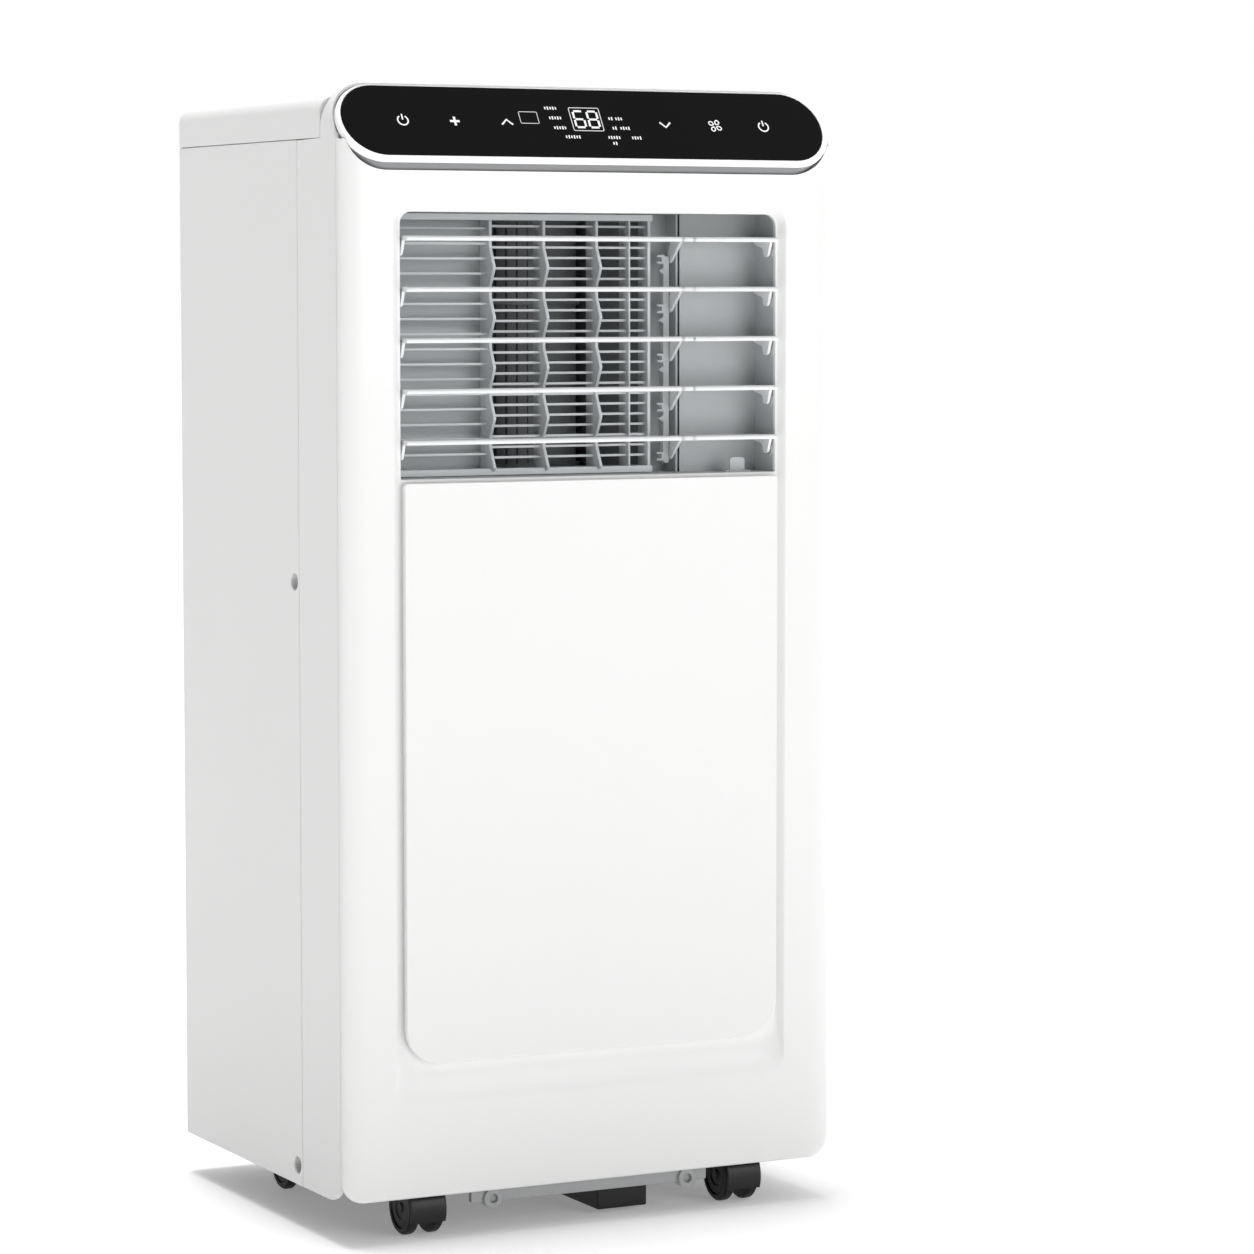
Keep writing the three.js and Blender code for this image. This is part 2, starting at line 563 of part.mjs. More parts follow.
function rearShell() {
  const front = SIDE_SEAM + GAP;
  const outer = prism('Z', rearPlan(HALF, front, CABINET_DEPTH, REAR_CORNER), 0, CABINET_HEIGHT);
  const inner = prism('Z', rearPlan(INSIDE, front - 1, REAR_INSIDE, REAR_CORNER - WALL),
    -1, CABINET_HEIGHT + 1);
  const cups = screwCups(SCREW_CUP_DEPTH + THIN, SCREW_CUP_RADIUS + THIN, 0);
  const drills = screwCups(SCREW_CUP_DEPTH, SCREW_CUP_RADIUS, 1);
  const through = [REAR_INSIDE - 5, CABINET_DEPTH + 5];
  const hole = (x, z, radius, sides) => round('Y', x, z, radius, ...through, sides);
  const upper = box(-UPPER_GRILLE_WIDTH / 2 - RUN, UPPER_GRILLE_WIDTH / 2 + RUN, ...through,
    UPPER_GRILLE_BOTTOM - RUN, UPPER_GRILLE_TOP + RUN);
  const lower = box(-LOWER_GRILLE_WIDTH / 2 - GAP, LOWER_GRILLE_WIDTH / 2 + GAP, ...through,
    LOWER_GRILLE_BOTTOM - GAP, LOWER_GRILLE_TOP + GAP);
  const body = cut(join(cut(outer, inner), ...cups), ...drills, upper, lower,
    hole(0, COLLAR_HEIGHT, COLLAR_RADIUS + 2 * GAP, COLLAR_SIDES),
    hole(UPPER_DRAIN_SIDE, UPPER_DRAIN_HEIGHT, DRAIN_RADIUS + GAP),
    hole(0, LOWER_DRAIN_HEIGHT, DRAIN_RADIUS + GAP),
    hole(GLAND_SIDE, GLAND_HEIGHT, GLAND_RADIUS - 3));
  return node('rear_shell', body, 'shell');
}

// The cover's plan is drawn past its front end and cut off there, so only the sides and back round over.
function coverForm(half, back, corner, edge, top) {
  const plan = rearPlan(half - edge, 0, back - edge, corner - edge);
  const geometry = new THREE.ExtrudeGeometry(plan, {
    depth: COVER_RISE, bevelSize: edge, bevelThickness: edge, bevelSegments: 3,
    curveSegments: ARC_STEPS });
  return solid(geometry.translate(0, 0, top - COVER_RISE - edge));
}

function topCover() {
  const seam = CABINET_HEIGHT + GAP;
  const top = CABINET_HEIGHT + COVER_RISE;
  const keep = box(-HALF - 1, HALF + 1, HEAD_REAR + GAP, CABINET_DEPTH + 1, seam, top + 1);
  const hollow = coverForm(INSIDE, REAR_INSIDE, REAR_CORNER - WALL, COVER_EDGE - WALL, top - WALL)
    .intersect(box(-HALF, HALF, HEAD_REAR + GAP + WALL, CABINET_DEPTH, seam - 1, top));
  const form = coverForm(HALF, CABINET_DEPTH, REAR_CORNER, COVER_EDGE, top);
  return node('top_cover', cut(form.intersect(keep), hollow), 'shell');
}

// ---------------------------------------------------------------- outlet
const louvreHeight = (i) => LOUVRE_TOP - i * LOUVRE_PITCH;
const pivotHeight = (i) => louvreHeight(i) - PIVOT_DROP;
const crankHeight = (i) => louvreHeight(i) - CRANK_DROP;
const MOTOR_LOUVRE = (LOUVRE_COUNT - 1) / 2;

function bladeOutline() {
  const nose = LOUVRE_THICK / 2;
  const shape = new THREE.Shape();
  shape.moveTo(LOUVRE_REAR, -nose);
  shape.lineTo(LOUVRE_REAR, nose);
  shape.lineTo(LOUVRE_FRONT + nose, nose);
  shape.absarc(LOUVRE_FRONT + nose, 0, nose, Math.PI / 2, 1.5 * Math.PI, false);
  return shape;
}

function louvre(i) {
  const half = OUTLET_HALF - LOUVRE_END_PLAY;
  const blade = prism('X', bladeOutline(), -half, half, 3);
  const armOutline = polygon([
    [PIVOT_SETBACK - ARM_ROOT, 0], [PIVOT_SETBACK - ARM_TIP, -PIVOT_DROP - ARM_TIP],
    [PIVOT_SETBACK + ARM_TIP, -PIVOT_DROP - ARM_TIP], [PIVOT_SETBACK + ARM_ROOT, 0]]);
  const arms = [-half, half - CRANK_THICK].map((x) => prism('X', armOutline, x, x + CRANK_THICK));
  const reach = OUTLET_HALF + DUCT_WALL + GAP;
  const drive = i === MOTOR_LOUVRE ? MOTOR_REACH : 0;
  const pins = [[-reach, -half + 1], [half - 1, reach + drive]]
    .map((ends) => round('X', PIVOT_SETBACK, -PIVOT_DROP, PIVOT_RADIUS, ...ends, 12));
  const crankOutline = polygon([
    [LOUVRE_REAR - 14, 0], [LOUVRE_REAR, 0], [CRANK_SETBACK + 2.2, -CRANK_DROP + 1],
    [CRANK_SETBACK + 1, -CRANK_DROP - 2.4], [CRANK_SETBACK - 2.6, -CRANK_DROP - 1.6]]);
  const crank = prism('X', crankOutline, CRANK_SIDE, CRANK_SIDE + CRANK_THICK);
  const crankPin = round('X', CRANK_SETBACK, -CRANK_DROP, CRANK_PIN_RADIUS,
    CRANK_SIDE - ROD_WIDTH - 2 * RUN, CRANK_SIDE + 1, 12);
  const rodNotch = box(CRANK_SIDE - ROD_WIDTH - 3 * RUN, CRANK_SIDE - GAP, LOUVRE_REAR - ROD_DEPTH,
    LOUVRE_REAR + 1, -LOUVRE_THICK, LOUVRE_THICK);
  const body = join(cut(blade, rodNotch), ...arms, ...pins, crank, crankPin);
  const mesh = node(`louvre_${i + 1}`, body, 'duct');
  mesh.position.z = louvreHeight(i);
  return mesh;
}

function linkRod() {
  const x1 = CRANK_SIDE - RUN;
  const x0 = x1 - ROD_WIDTH;
  const low = crankHeight(LOUVRE_COUNT - 1) - 4;
  const high = crankHeight(0) + CRANK_PIN_RADIUS + RUN;
  const bar = box(x0, x1, CRANK_SETBACK - ROD_DEPTH / 2, CRANK_SETBACK + ROD_DEPTH / 2, low, high);
  const holes = repeat(LOUVRE_COUNT, (i) => round('X', CRANK_SETBACK, crankHeight(i),
    CRANK_PIN_RADIUS + GAP, x0 - 1, x1 + 1, 12));
  const topSlot = box(x0 - 1, x1 + 1, CRANK_SETBACK - CRANK_PIN_RADIUS - GAP,
    CRANK_SETBACK + CRANK_PIN_RADIUS + GAP, crankHeight(0), high + 1);
  return node('link_rod', cut(bar, ...holes, topSlot), 'white');
}

function louvreMotor() {
  const x0 = OUTLET_HALF + DUCT_WALL + 2 * RUN;
  const height = pivotHeight(MOTOR_LOUVRE);
  const can = round('X', PIVOT_SETBACK + LOUVRE_MOTOR_OFFSET, height, LOUVRE_MOTOR_RADIUS,
    x0, x0 + LOUVRE_MOTOR_LENGTH);
  const socket = round('X', PIVOT_SETBACK, height, PIVOT_RADIUS + THIN, x0, x0 + MOTOR_REACH + THIN, 12);
  const bore = round('X', PIVOT_SETBACK, height, PIVOT_RADIUS + GAP, x0 - 1, x0 + MOTOR_REACH + 1, 12);
  return node('louvre_motor', cut(join(can, socket), bore), 'steel');
}

function outletDuct() {
  const front = FASCIA_THICK + GAP;
  const left = -OUTLET_HALF - DUCT_WALL - GAP;
  const right = OUTLET_HALF + DUCT_WALL;
  const low = OUTLET_BOTTOM - DUCT_WALL;
  const high = OUTLET_TOP + DUCT_WALL;
  const shell = box(left, right, front, DUCT_REAR, low, high);
  const mouth = box(-OUTLET_HALF - GAP, OUTLET_HALF, front - 1, BLANK_WALL_SETBACK,
    OUTLET_BOTTOM, OUTLET_TOP);
  const guardRoom = box(-OUTLET_HALF - GAP, CHANNEL_RIGHT, front - 1, DUCT_REAR - DUCT_WALL,
    OUTLET_BOTTOM, OUTLET_TOP);
  const blankBack = box(CHANNEL_RIGHT + DUCT_WALL, OUTLET_HALF, BLANK_WALL_SETBACK + DUCT_WALL,
    DUCT_REAR + 1, OUTLET_BOTTOM, OUTLET_TOP);
  const window = box(-OUTLET_HALF + GUARD_SOLID_SPAN, CHANNEL_LEFT - GUARD_RIB, front, DUCT_REAR + 1,
    OUTLET_BOTTOM, OUTLET_TOP);
  const bearings = repeat(LOUVRE_COUNT, (i) => round('X', PIVOT_SETBACK, pivotHeight(i),
    PIVOT_RADIUS + GAP, left - 1, right + 1, 12));
  return node('outlet_duct', cut(shell, mouth, guardRoom, blankBack, window, ...bearings), 'duct');
}

function guardGrille() {
  const left = -OUTLET_HALF;
  const right = CHANNEL_LEFT - GUARD_RIB;
  const low = OUTLET_BOTTOM + GAP;
  const high = OUTLET_TOP - GAP;
  const solidEnd = left + GUARD_SOLID_SPAN;
  const ribXs = [left, ...repeat(3, (i) => right - (i + 1) * GUARD_RIB_STEP), right - GUARD_RIB];
  const ribs = ribXs.map((x) => box(x, x + GUARD_RIB, GUARD_FRONT, GUARD_REAR - GAP, low, high));
  const rails = [low, high - GUARD_RAIL].map((z) => box(
    left, right, GUARD_FRONT, GUARD_REAR - GAP, z, z + GUARD_RAIL));
  const inside = high - low - 2 * GUARD_RAIL;
  const bars = [[left + 1, solidEnd + 1, GUARD_SIDE_STEP], [solidEnd, right - 1, GUARD_BAR_STEP]]
    .flatMap(([start, end, step]) => repeat(Math.floor(inside / step), (i) => {
      const z = low + GUARD_RAIL + (i + 0.5) * step;
      const front = GUARD_FRONT + GUARD_RAIL;
      return box(start, end, front, front + 2 * GUARD_BAR, z, z + GUARD_BAR);
    }));
  return node('guard_grille', join(...ribs, ...rails, ...bars), 'duct');
}

// ---------------------------------------------------------------- cooling side, above the deck
function alongWall(points, thick) {
  const path = points.map(([x, y]) => new THREE.Vector2(x, y));
  const offset = path.map((p, i) => {
    const before = path[Math.max(i - 1, 0)];
    const after = path[Math.min(i + 1, path.length - 1)];
    const run = after.clone().sub(before).normalize();
    return new THREE.Vector2(p.x - run.y * thick, p.y + run.x * thick);
  });
  return new THREE.Shape([...path, ...offset.reverse()]);
}

// Scroll-shaped guides carry the air from the coil, through the wheel, to the outlet.
function airGuide() {
  const left = -OUTLET_HALF + GUARD_SOLID_SPAN;
  const right = CHANNEL_LEFT - GUARD_RIB;
  const front = DUCT_REAR + GAP;
  const back = COIL_FRONT - 2 * GAP;
  const clear = BLOWER_RADIUS + BLOWER_CLEAR;
  const around = (degrees, radius) => [
    BLOWER_AXIS_X + radius * Math.cos(THREE.MathUtils.degToRad(degrees)),
    BLOWER_AXIS_Y + radius * Math.sin(THREE.MathUtils.degToRad(degrees))];
  const leftGuide = alongWall([[left, front], ...[205, 190, 175, 160].map((a) => around(a, clear)),
    [-COIL_HALF, back]], THIN);
  const rightGuide = alongWall([[COIL_HALF, back], around(20, clear + 4), around(5, clear),
    around(-15, clear + 1), [right, front]], THIN);
  const guides = [leftGuide, rightGuide].map((shape) => prism('Z', shape, OUTLET_BOTTOM, OUTLET_TOP));
  const plates = [OUTLET_BOTTOM - THIN, OUTLET_TOP].map((z) => box(
    -COIL_HALF - THIN, COIL_HALF + THIN, front, back, z, z + THIN));
  const shaftHole = round('Z', BLOWER_AXIS_X, BLOWER_AXIS_Y, BLOWER_SHAFT + 2,
    OUTLET_BOTTOM - 2 * THIN, OUTLET_TOP + 2 * THIN, 12);
  return node('air_guide', cut(join(...guides, ...plates), shaftHole), 'duct');
}

function fanWheel(radius, blades, chord, low, high, hub, bore) {
  const disc = (z0, z1, r) => round('Z', 0, 0, r, z0, z1);
  const step = (2 * Math.PI) / blades;
  const rim = cut(disc(high - THIN, high, radius), disc(high - 2 * THIN, high + 1, radius - chord));
  const ring = repeat(blades, (i) => {
    const geometry = new THREE.BoxGeometry(FAN_BLADE_THICK, chord - 1, high - low - THIN);
    geometry.rotateZ(FAN_BLADE_SET).translate(0, radius - (chord + 1) / 2, (low + high) / 2);
    return solid(geometry.rotateZ(i * step));
  });
  const body = join(disc(low, low + THIN, radius), rim, disc(low, low + hub, HUB_RADIUS), ...ring);
  return cut(body, disc(low - 1, high + 1, bore + GAP));
}

function blowerWheel() {
  const low = OUTLET_BOTTOM + BLOWER_END_ROOM;
  const high = OUTLET_TOP - BLOWER_END_ROOM;
  const wheel = fanWheel(BLOWER_RADIUS, BLOWER_BLADES, BLOWER_CHORD, -high, -low, BLOWER_HUB, BLOWER_SHAFT);
  const mesh = node('blower_wheel', wheel.rotate([180, 0, 0]), 'black');
  mesh.position.set(BLOWER_AXIS_X, BLOWER_AXIS_Y, 0);
  return mesh;
}

function blowerMotor() {
  const low = OUTLET_TOP + THIN + GAP;
  const can = round('Z', BLOWER_AXIS_X, BLOWER_AXIS_Y, BLOWER_MOTOR_RADIUS, low, low + BLOWER_MOTOR_HEIGHT);
  const shaft = round('Z', BLOWER_AXIS_X, BLOWER_AXIS_Y, BLOWER_SHAFT,
    OUTLET_TOP - BLOWER_SHAFT_REACH, low + 1, 12);
  return node('blower_motor', join(can, shaft), 'steel');
}

// A finned block with end plates and the return bends of its tubes.
function finnedCoil(name, low, high, bends) {
  const block = box(-COIL_HALF, COIL_HALF, COIL_FRONT, COIL_BACK, low + 2, high - 2);
  const ends = [-COIL_HALF - 1.5, COIL_HALF].map((x) => box(
    x, x + 1.5, COIL_FRONT - GAP, COIL_BACK + GAP, low, high));
  const pitch = (high - low) / bends;
  const middle = (COIL_FRONT + COIL_BACK) / 2;
  const returns = [-1, 1].flatMap((side) => repeat(bends, (i) => {
    const z = low + (i + 0.5) * pitch;
    const face = side * (COIL_HALF + 1);
    return pipe([[face, middle - 7, z], [face + side * 8, middle - 4, z],
      [face + side * 8, middle + 4, z], [face, middle + 7, z]], 3, 1);
  }));
  return node(name, join(block, ...ends, ...returns), 'fins');
}

function midDeck() {
  const front = DUCT_REAR + 2;
  const back = REAR_INSIDE - RUN;
  const plan = rearPlan(INSIDE - RUN, front, back, REAR_CORNER - WALL);
  const plate = prism('Z', plan, DECK_BOTTOM, DECK_TOP);
  const dripHalf = COIL_HALF + DRIP_SIDE_ROOM;
  const [dripFront, dripBack] = [COIL_FRONT - DRIP_ROOM, COIL_BACK + DRIP_ROOM];
  const drip = box(-dripHalf, dripHalf, dripFront, dripBack, DRIP_FLOOR, DECK_TOP);
  const hollow = box(-dripHalf + THIN, dripHalf - THIN, dripFront + THIN, dripBack - THIN,
    DRIP_FLOOR + THIN, DECK_TOP + 1);
  const spout = round('Y', UPPER_DRAIN_SIDE, UPPER_DRAIN_HEIGHT, DRAIN_RADIUS,
    COIL_BACK + 2, CABINET_DEPTH + DRAIN_PROUD, 16);
  const bore = round('Y', UPPER_DRAIN_SIDE, UPPER_DRAIN_HEIGHT, DRAIN_BORE,
    COIL_BACK - 6, CABINET_DEPTH + DRAIN_PROUD + 1, 16);
  const pipeHoles = [ACCUMULATOR_X, -ACCUMULATOR_X].map((x) => round('Z', x, ACCUMULATOR_SETBACK,
    PIPE_RADIUS + 3, DRIP_FLOOR, DECK_TOP + 1, 12));
  const cupRoom = screwCups(SCREW_CUP_DEPTH + THIN + GAP, SCREW_CUP_RADIUS + THIN + GAP, 1);
  return node('mid_deck', cut(join(plate, drip, spout), hollow, bore, ...pipeHoles, ...cupRoom), 'duct');
}

// ---------------------------------------------------------------- rear wall
function slottedGrille(name, halfWidth, low, high) {
  const back = CABINET_DEPTH + GRILLE_PROUD;
  const front = back - GRILLE_THICK;
  const plate = box(-halfWidth, halfWidth, front, back, low, high);
  const columns = 3;
  const columnWidth = (2 * halfWidth - GRILLE_BORDER * (columns + 1)) / columns;
  const rows = Math.floor((high - low - 2 * GRILLE_BORDER + GRILLE_BAR) / (GRILLE_SLOT + GRILLE_BAR));
  const spare = high - low - rows * (GRILLE_SLOT + GRILLE_BAR) + GRILLE_BAR;
  const slots = repeat(columns * rows, (i) => {
    const x = -halfWidth + GRILLE_BORDER + (i % columns) * (columnWidth + GRILLE_BORDER);
    const z = low + spare / 2 + Math.floor(i / columns) * (GRILLE_SLOT + GRILLE_BAR);
    return box(x, x + columnWidth, front - 1, back + 1, z, z + GRILLE_SLOT);
  });
  return node(name, cut(plate, ...slots), 'shell');
}

function upperFilter() {
  const back = CABINET_DEPTH + GRILLE_PROUD - GRILLE_THICK - GAP;
  const half = UPPER_GRILLE_WIDTH / 2 - FILTER_INSET;
  const low = UPPER_GRILLE_BOTTOM + FILTER_INSET;
  const high = UPPER_GRILLE_TOP - FILTER_INSET;
  const sheet = box(-half, half, back - 1, back, low, high);
  const frame = cut(box(-half, half, back - FILTER_THICK, back, low, high),
    box(-half + FILTER_RIM, half - FILTER_RIM, back - 2 * FILTER_THICK, back + 1,
      low + FILTER_RIM, high - FILTER_RIM));
  return node('upper_filter', join(sheet, frame), 'mesh');
}

function exhaustCollar() {
  const inner = COLLAR_RADIUS - WALL;
  const front = REAR_INSIDE - COLLAR_INSERT;
  const back = CABINET_DEPTH + COLLAR_PROUD;
  const profile = [
    [inner, front], [COLLAR_RADIUS, front], [COLLAR_RADIUS, CABINET_DEPTH + GAP],
    [COLLAR_FLANGE, CABINET_DEPTH + GAP], [COLLAR_FLANGE, CABINET_DEPTH + GAP + WALL],
    [COLLAR_RADIUS, CABINET_DEPTH + GAP + WALL], [COLLAR_RADIUS, back], [inner, back],
    [inner, front]];
  return node('exhaust_collar', turned('Y', profile, 0, COLLAR_HEIGHT, COLLAR_SIDES), 'shell');
}

function drainCap(name, x, z) {
  const front = CABINET_DEPTH + GAP;
  const cup = round('Y', x, z, CAP_RADIUS, front, CABINET_DEPTH + CAP_PROUD, 16);
  const bore = round('Y', x, z, DRAIN_RADIUS + GAP, front - 1, CABINET_DEPTH + DRAIN_PROUD + GAP, 16);
  return node(name, cut(cup, bore), 'rubber');
}

function cordGland() {
  const profile = [
    [3.5, REAR_INSIDE - 6], [GLAND_RADIUS - 3 - GAP, REAR_INSIDE - 6],
    [GLAND_RADIUS - 3 - GAP, CABINET_DEPTH + GAP], [GLAND_RADIUS, CABINET_DEPTH + GAP],
    [GLAND_RADIUS, CABINET_DEPTH + 3], [6.5, CABINET_DEPTH + 6], [3.5, CABINET_DEPTH + 6],
    [3.5, REAR_INSIDE - 6]];
  return node('cord_gland', turned('Y', profile, GLAND_SIDE, GLAND_HEIGHT, 16), 'rubber');
}

// ---------------------------------------------------------------- base
const casterPlaces = [
  { name: 'front_left', x: -FRONT_CASTER_SIDE, y: FRONT_CASTER_SETBACK },
  { name: 'front_right', x: FRONT_CASTER_SIDE, y: FRONT_CASTER_SETBACK },
  { name: 'rear_left', x: -REAR_CASTER_SIDE, y: REAR_CASTER_SETBACK },
  { name: 'rear_right', x: REAR_CASTER_SIDE, y: REAR_CASTER_SETBACK },
];

function basePan() {
  const front = FRAME_FRONT + WALL + RUN;
  const back = REAR_INSIDE - RUN;
  const plan = rearPlan(INSIDE - RUN, front, back, REAR_CORNER - WALL);
  const room = rearPlan(INSIDE - RUN - THIN, front + THIN, back - THIN, REAR_CORNER - WALL - THIN);
  const tray = cut(prism('Z', plan, PAN_LIFT, PAN_TOP + PAN_RIM),
    prism('Z', room, PAN_TOP, PAN_TOP + 2 * PAN_RIM));
  const sockets = casterPlaces.map(({ x, y }) => round(
    'Z', x, y, STEM_SOCKET, PAN_LIFT, PAN_TOP + SOCKET_RISE, 16));
  const holes = casterPlaces.map(({ x, y }) => round(
    'Z', x, y, STEM_RADIUS + GAP, PAN_LIFT - 1, PAN_TOP + SOCKET_RISE + 1, 16));
  const spout = round('Y', 0, LOWER_DRAIN_HEIGHT, DRAIN_RADIUS, back - 1, CABINET_DEPTH + DRAIN_PROUD, 16);
  const bore = round('Y', 0, LOWER_DRAIN_HEIGHT, DRAIN_BORE, back - 5, CABINET_DEPTH + DRAIN_PROUD + 1, 16);
  const cupRoom = screwCups(SCREW_CUP_DEPTH + THIN + GAP, SCREW_CUP_RADIUS + THIN + GAP, 1);
  const drain = round('Z', BASIN_DRAIN.x, BASIN_DRAIN.y, BASIN_DRAIN.radius, PAN_LIFT - 1, PAN_TOP + 1);
  return node('base_pan', cut(join(tray, ...sockets, spout), bore, drain, ...holes, ...cupRoom), 'black');
}

// Open box under the pan that gathers the water from the pan's drain hole.
function condensateBasin() {
  const back = CABINET_DEPTH - BASIN_BACK_ROOM;
  const outside = box(BASIN_LEFT, BASIN_RIGHT, BASIN_FRONT, back, BASIN_FLOOR, PAN_LIFT - GAP);
  const inside = box(BASIN_LEFT + WALL, BASIN_RIGHT - WALL, BASIN_FRONT + WALL, back - WALL,
    BASIN_FLOOR + WALL, PAN_LIFT);
  return node('condensate_basin', cut(outside, inside), 'black');
}

function frontFootRail() {
  const front = FRAME_FRONT;
  const bossHeight = 1 - RAIL_BOSS_RADIUS;
  const barTop = BASIN_FLOOR + PAN_LIFT + WALL;
  const bar = box(-RAIL_HALF, RAIL_HALF, front, front + RAIL_THICK, -RAIL_DROP, barTop);
  const bossXs = [-RAIL_BOSS_SIDE, RAIL_BOSS_SIDE];
  const bosses = bossXs.map((x) => round(
    'Y', x, bossHeight, RAIL_BOSS_RADIUS, front - 2, BASIN_FRONT - GAP, 20));
  const holes = bossXs.map((x) => round('Y', x, bossHeight, RAIL_BOSS_BORE, 0, BASIN_FRONT + 1, 12));
  const fasciaRoom = box(-HALF, HALF, 0, front, -GAP, PAN_LIFT);
  return node('front_foot_rail', cut(join(bar, ...bosses), ...holes, fasciaRoom), 'rail');
}

function drainTray() {
  const body = box(TRAY_LEFT, TRAY_RIGHT, TRAY_FRONT, TRAY_BACK, TRAY_BOTTOM, BASIN_FLOOR - GAP);
  const hollow = box(TRAY_LEFT + THIN, TRAY_RIGHT - THIN, TRAY_FRONT + THIN, TRAY_BACK - THIN,
    TRAY_BOTTOM + THIN, BASIN_FLOOR + 1);
  return node('drain_tray', cut(body, hollow), 'black');
}

// Hooded fork: an arched cover over both wheels, a web between them and the swivel stem.
function casterFork(place) {
  const axleZ = WHEEL_RADIUS - FLOOR_CLEARANCE;
  const axleY = place.y - CASTER_TRAIL;
  const shape = new THREE.Shape();
  const [start, end] = [0, 1.14 * Math.PI];
  shape.absarc(0, 0, HOOD_RADIUS, start, end, false);
  shape.absarc(0, 0, HOOD_RADIUS - HOOD_THICK, end, start, true);
  const hood = prism('X', shape, place.x - CASTER_HALF, place.x + CASTER_HALF, 8);
  const webShape = new THREE.Shape();
  webShape.absarc(0, 0, HOOD_RADIUS - HOOD_THICK / 2, -0.1 * Math.PI, 1.14 * Math.PI, false);
  const web = prism('X', webShape, place.x - WEB_HALF, place.x + WEB_HALF, 8);
  const axleHole = round('X', 0, 0, AXLE_RADIUS + GAP, place.x - 2 * WEB_HALF, place.x + 2 * WEB_HALF, 12);
  const cover = cut(join(hood, web), axleHole).translate([0, axleY, axleZ]);
  const neck = round('Z', place.x, place.y, STEM_RADIUS + 3, axleZ + 4, PAN_LIFT - RUN, 16);
  const stem = round('Z', place.x, place.y, STEM_RADIUS, axleZ + 5, PAN_TOP + STEM_RISE, 16);
  const wheelRoom = [-1, 1].map((side) => {
    const ends = [side * (WEB_HALF + 0.01), side * 2 * CASTER_HALF].sort((a, b) => a - b);
    return round('X', axleY, axleZ, WHEEL_RADIUS + RUN, place.x + ends[0], place.x + ends[1]);
  });
  return node(`caster_${place.name}_fork`, join(cover, cut(join(neck, stem), ...wheelRoom)), 'black');
}

// A flat of the faceted tread faces the floor, so the wheel stands on a line and not on a corner.
function casterWheel(place, side) {
  const vertexRadius = WHEEL_RADIUS / Math.cos(Math.PI / WHEEL_SIDES);
  const inner = side * (WEB_HALF + RUN);
  const outer = side * CASTER_HALF;
  const [from, to] = [Math.min(inner, outer), Math.max(inner, outer)];
  const geometry = new THREE.CylinderGeometry(vertexRadius, vertexRadius, to - from, WHEEL_SIDES)
    .rotateY(Math.PI / WHEEL_SIDES).rotateZ(-Math.PI / 2).translate((from + to) / 2, 0, 0);
  const tyre = solid(geometry);
  const dishEnds = [outer - side * DISH_DEPTH, outer + side].sort((a, b) => a - b);
  const dish = round('X', 0, 0, WHEEL_RADIUS - TREAD_DEPTH, ...dishEnds);
  const [axleFrom, axleTo] = [-CASTER_HALF + 2, CASTER_HALF - 1.5];
  const axle = round('X', 0, 0, AXLE_RADIUS, axleFrom, axleTo, 12);
  const bore = round('X', 0, 0, AXLE_RADIUS + GAP, -1, CASTER_HALF - 1.2, 12);
  const dished = cut(tyre, dish);
  const body = side < 0 ? join(dished, axle) : cut(dished, bore);
  const mesh = node(`caster_${place.name}_wheel_${side < 0 ? 'left' : 'right'}`, body, 'tread');
  mesh.position.set(place.x, place.y - CASTER_TRAIL, WHEEL_RADIUS - FLOOR_CLEARANCE);
  return mesh;
}

// ---------------------------------------------------------------- hot side, below the deck
function compressor() {
  const r = COMPRESSOR_RADIUS;
  const profile = [
    [0, COMPRESSOR_BOTTOM], [r - 8, COMPRESSOR_BOTTOM], [r, COMPRESSOR_BOTTOM + 8],
    [r, COMPRESSOR_TOP - 22], [r - 5, COMPRESSOR_TOP - 10], [r - 18, COMPRESSOR_TOP - 2],
    [0, COMPRESSOR_TOP]];
  const can = turned('Z', profile, COMPRESSOR_X, COMPRESSOR_SETBACK);
  const feet = repeat(3, (i) => {
    const angle = THREE.MathUtils.degToRad(30 + 120 * i);
    const x = COMPRESSOR_X + (r - 14) * Math.cos(angle);
    const y = COMPRESSOR_SETBACK + (r - 14) * Math.sin(angle);
    return round('Z', x, y, 8, PAN_TOP + GAP, COMPRESSOR_BOTTOM + 4, 12);
  });
  return node('compressor', join(can, ...feet), 'black');
}

function accumulator() {
  const r = ACCUMULATOR_RADIUS;
  const [low, high] = [COMPRESSOR_BOTTOM + 20, COMPRESSOR_TOP - 30];
  const profile = [[0, low], [r - 4, low], [r, low + 6], [r, high - 6], [r - 4, high], [0, high]];
  return node('accumulator', turned('Z', profile, ACCUMULATOR_X, ACCUMULATOR_SETBACK, 16), 'steel');
}

function suctionPipe() {
  const top = COMPRESSOR_TOP - 30 + GAP;
  const evaporatorEnd = -COIL_HALF - 14;
  return node('suction_pipe', pipe([
    [ACCUMULATOR_X, ACCUMULATOR_SETBACK, top], [ACCUMULATOR_X, ACCUMULATOR_SETBACK, top + 90],
    [ACCUMULATOR_X, ACCUMULATOR_SETBACK, DECK_TOP + 10],
    [ACCUMULATOR_X, ACCUMULATOR_SETBACK + 20, DECK_TOP + 40],
    [evaporatorEnd - 8, COIL_FRONT + 6, DECK_TOP + 52], [evaporatorEnd, COIL_FRONT + 10, DECK_TOP + 60],
  ], PIPE_RADIUS, 3), 'copper');
}

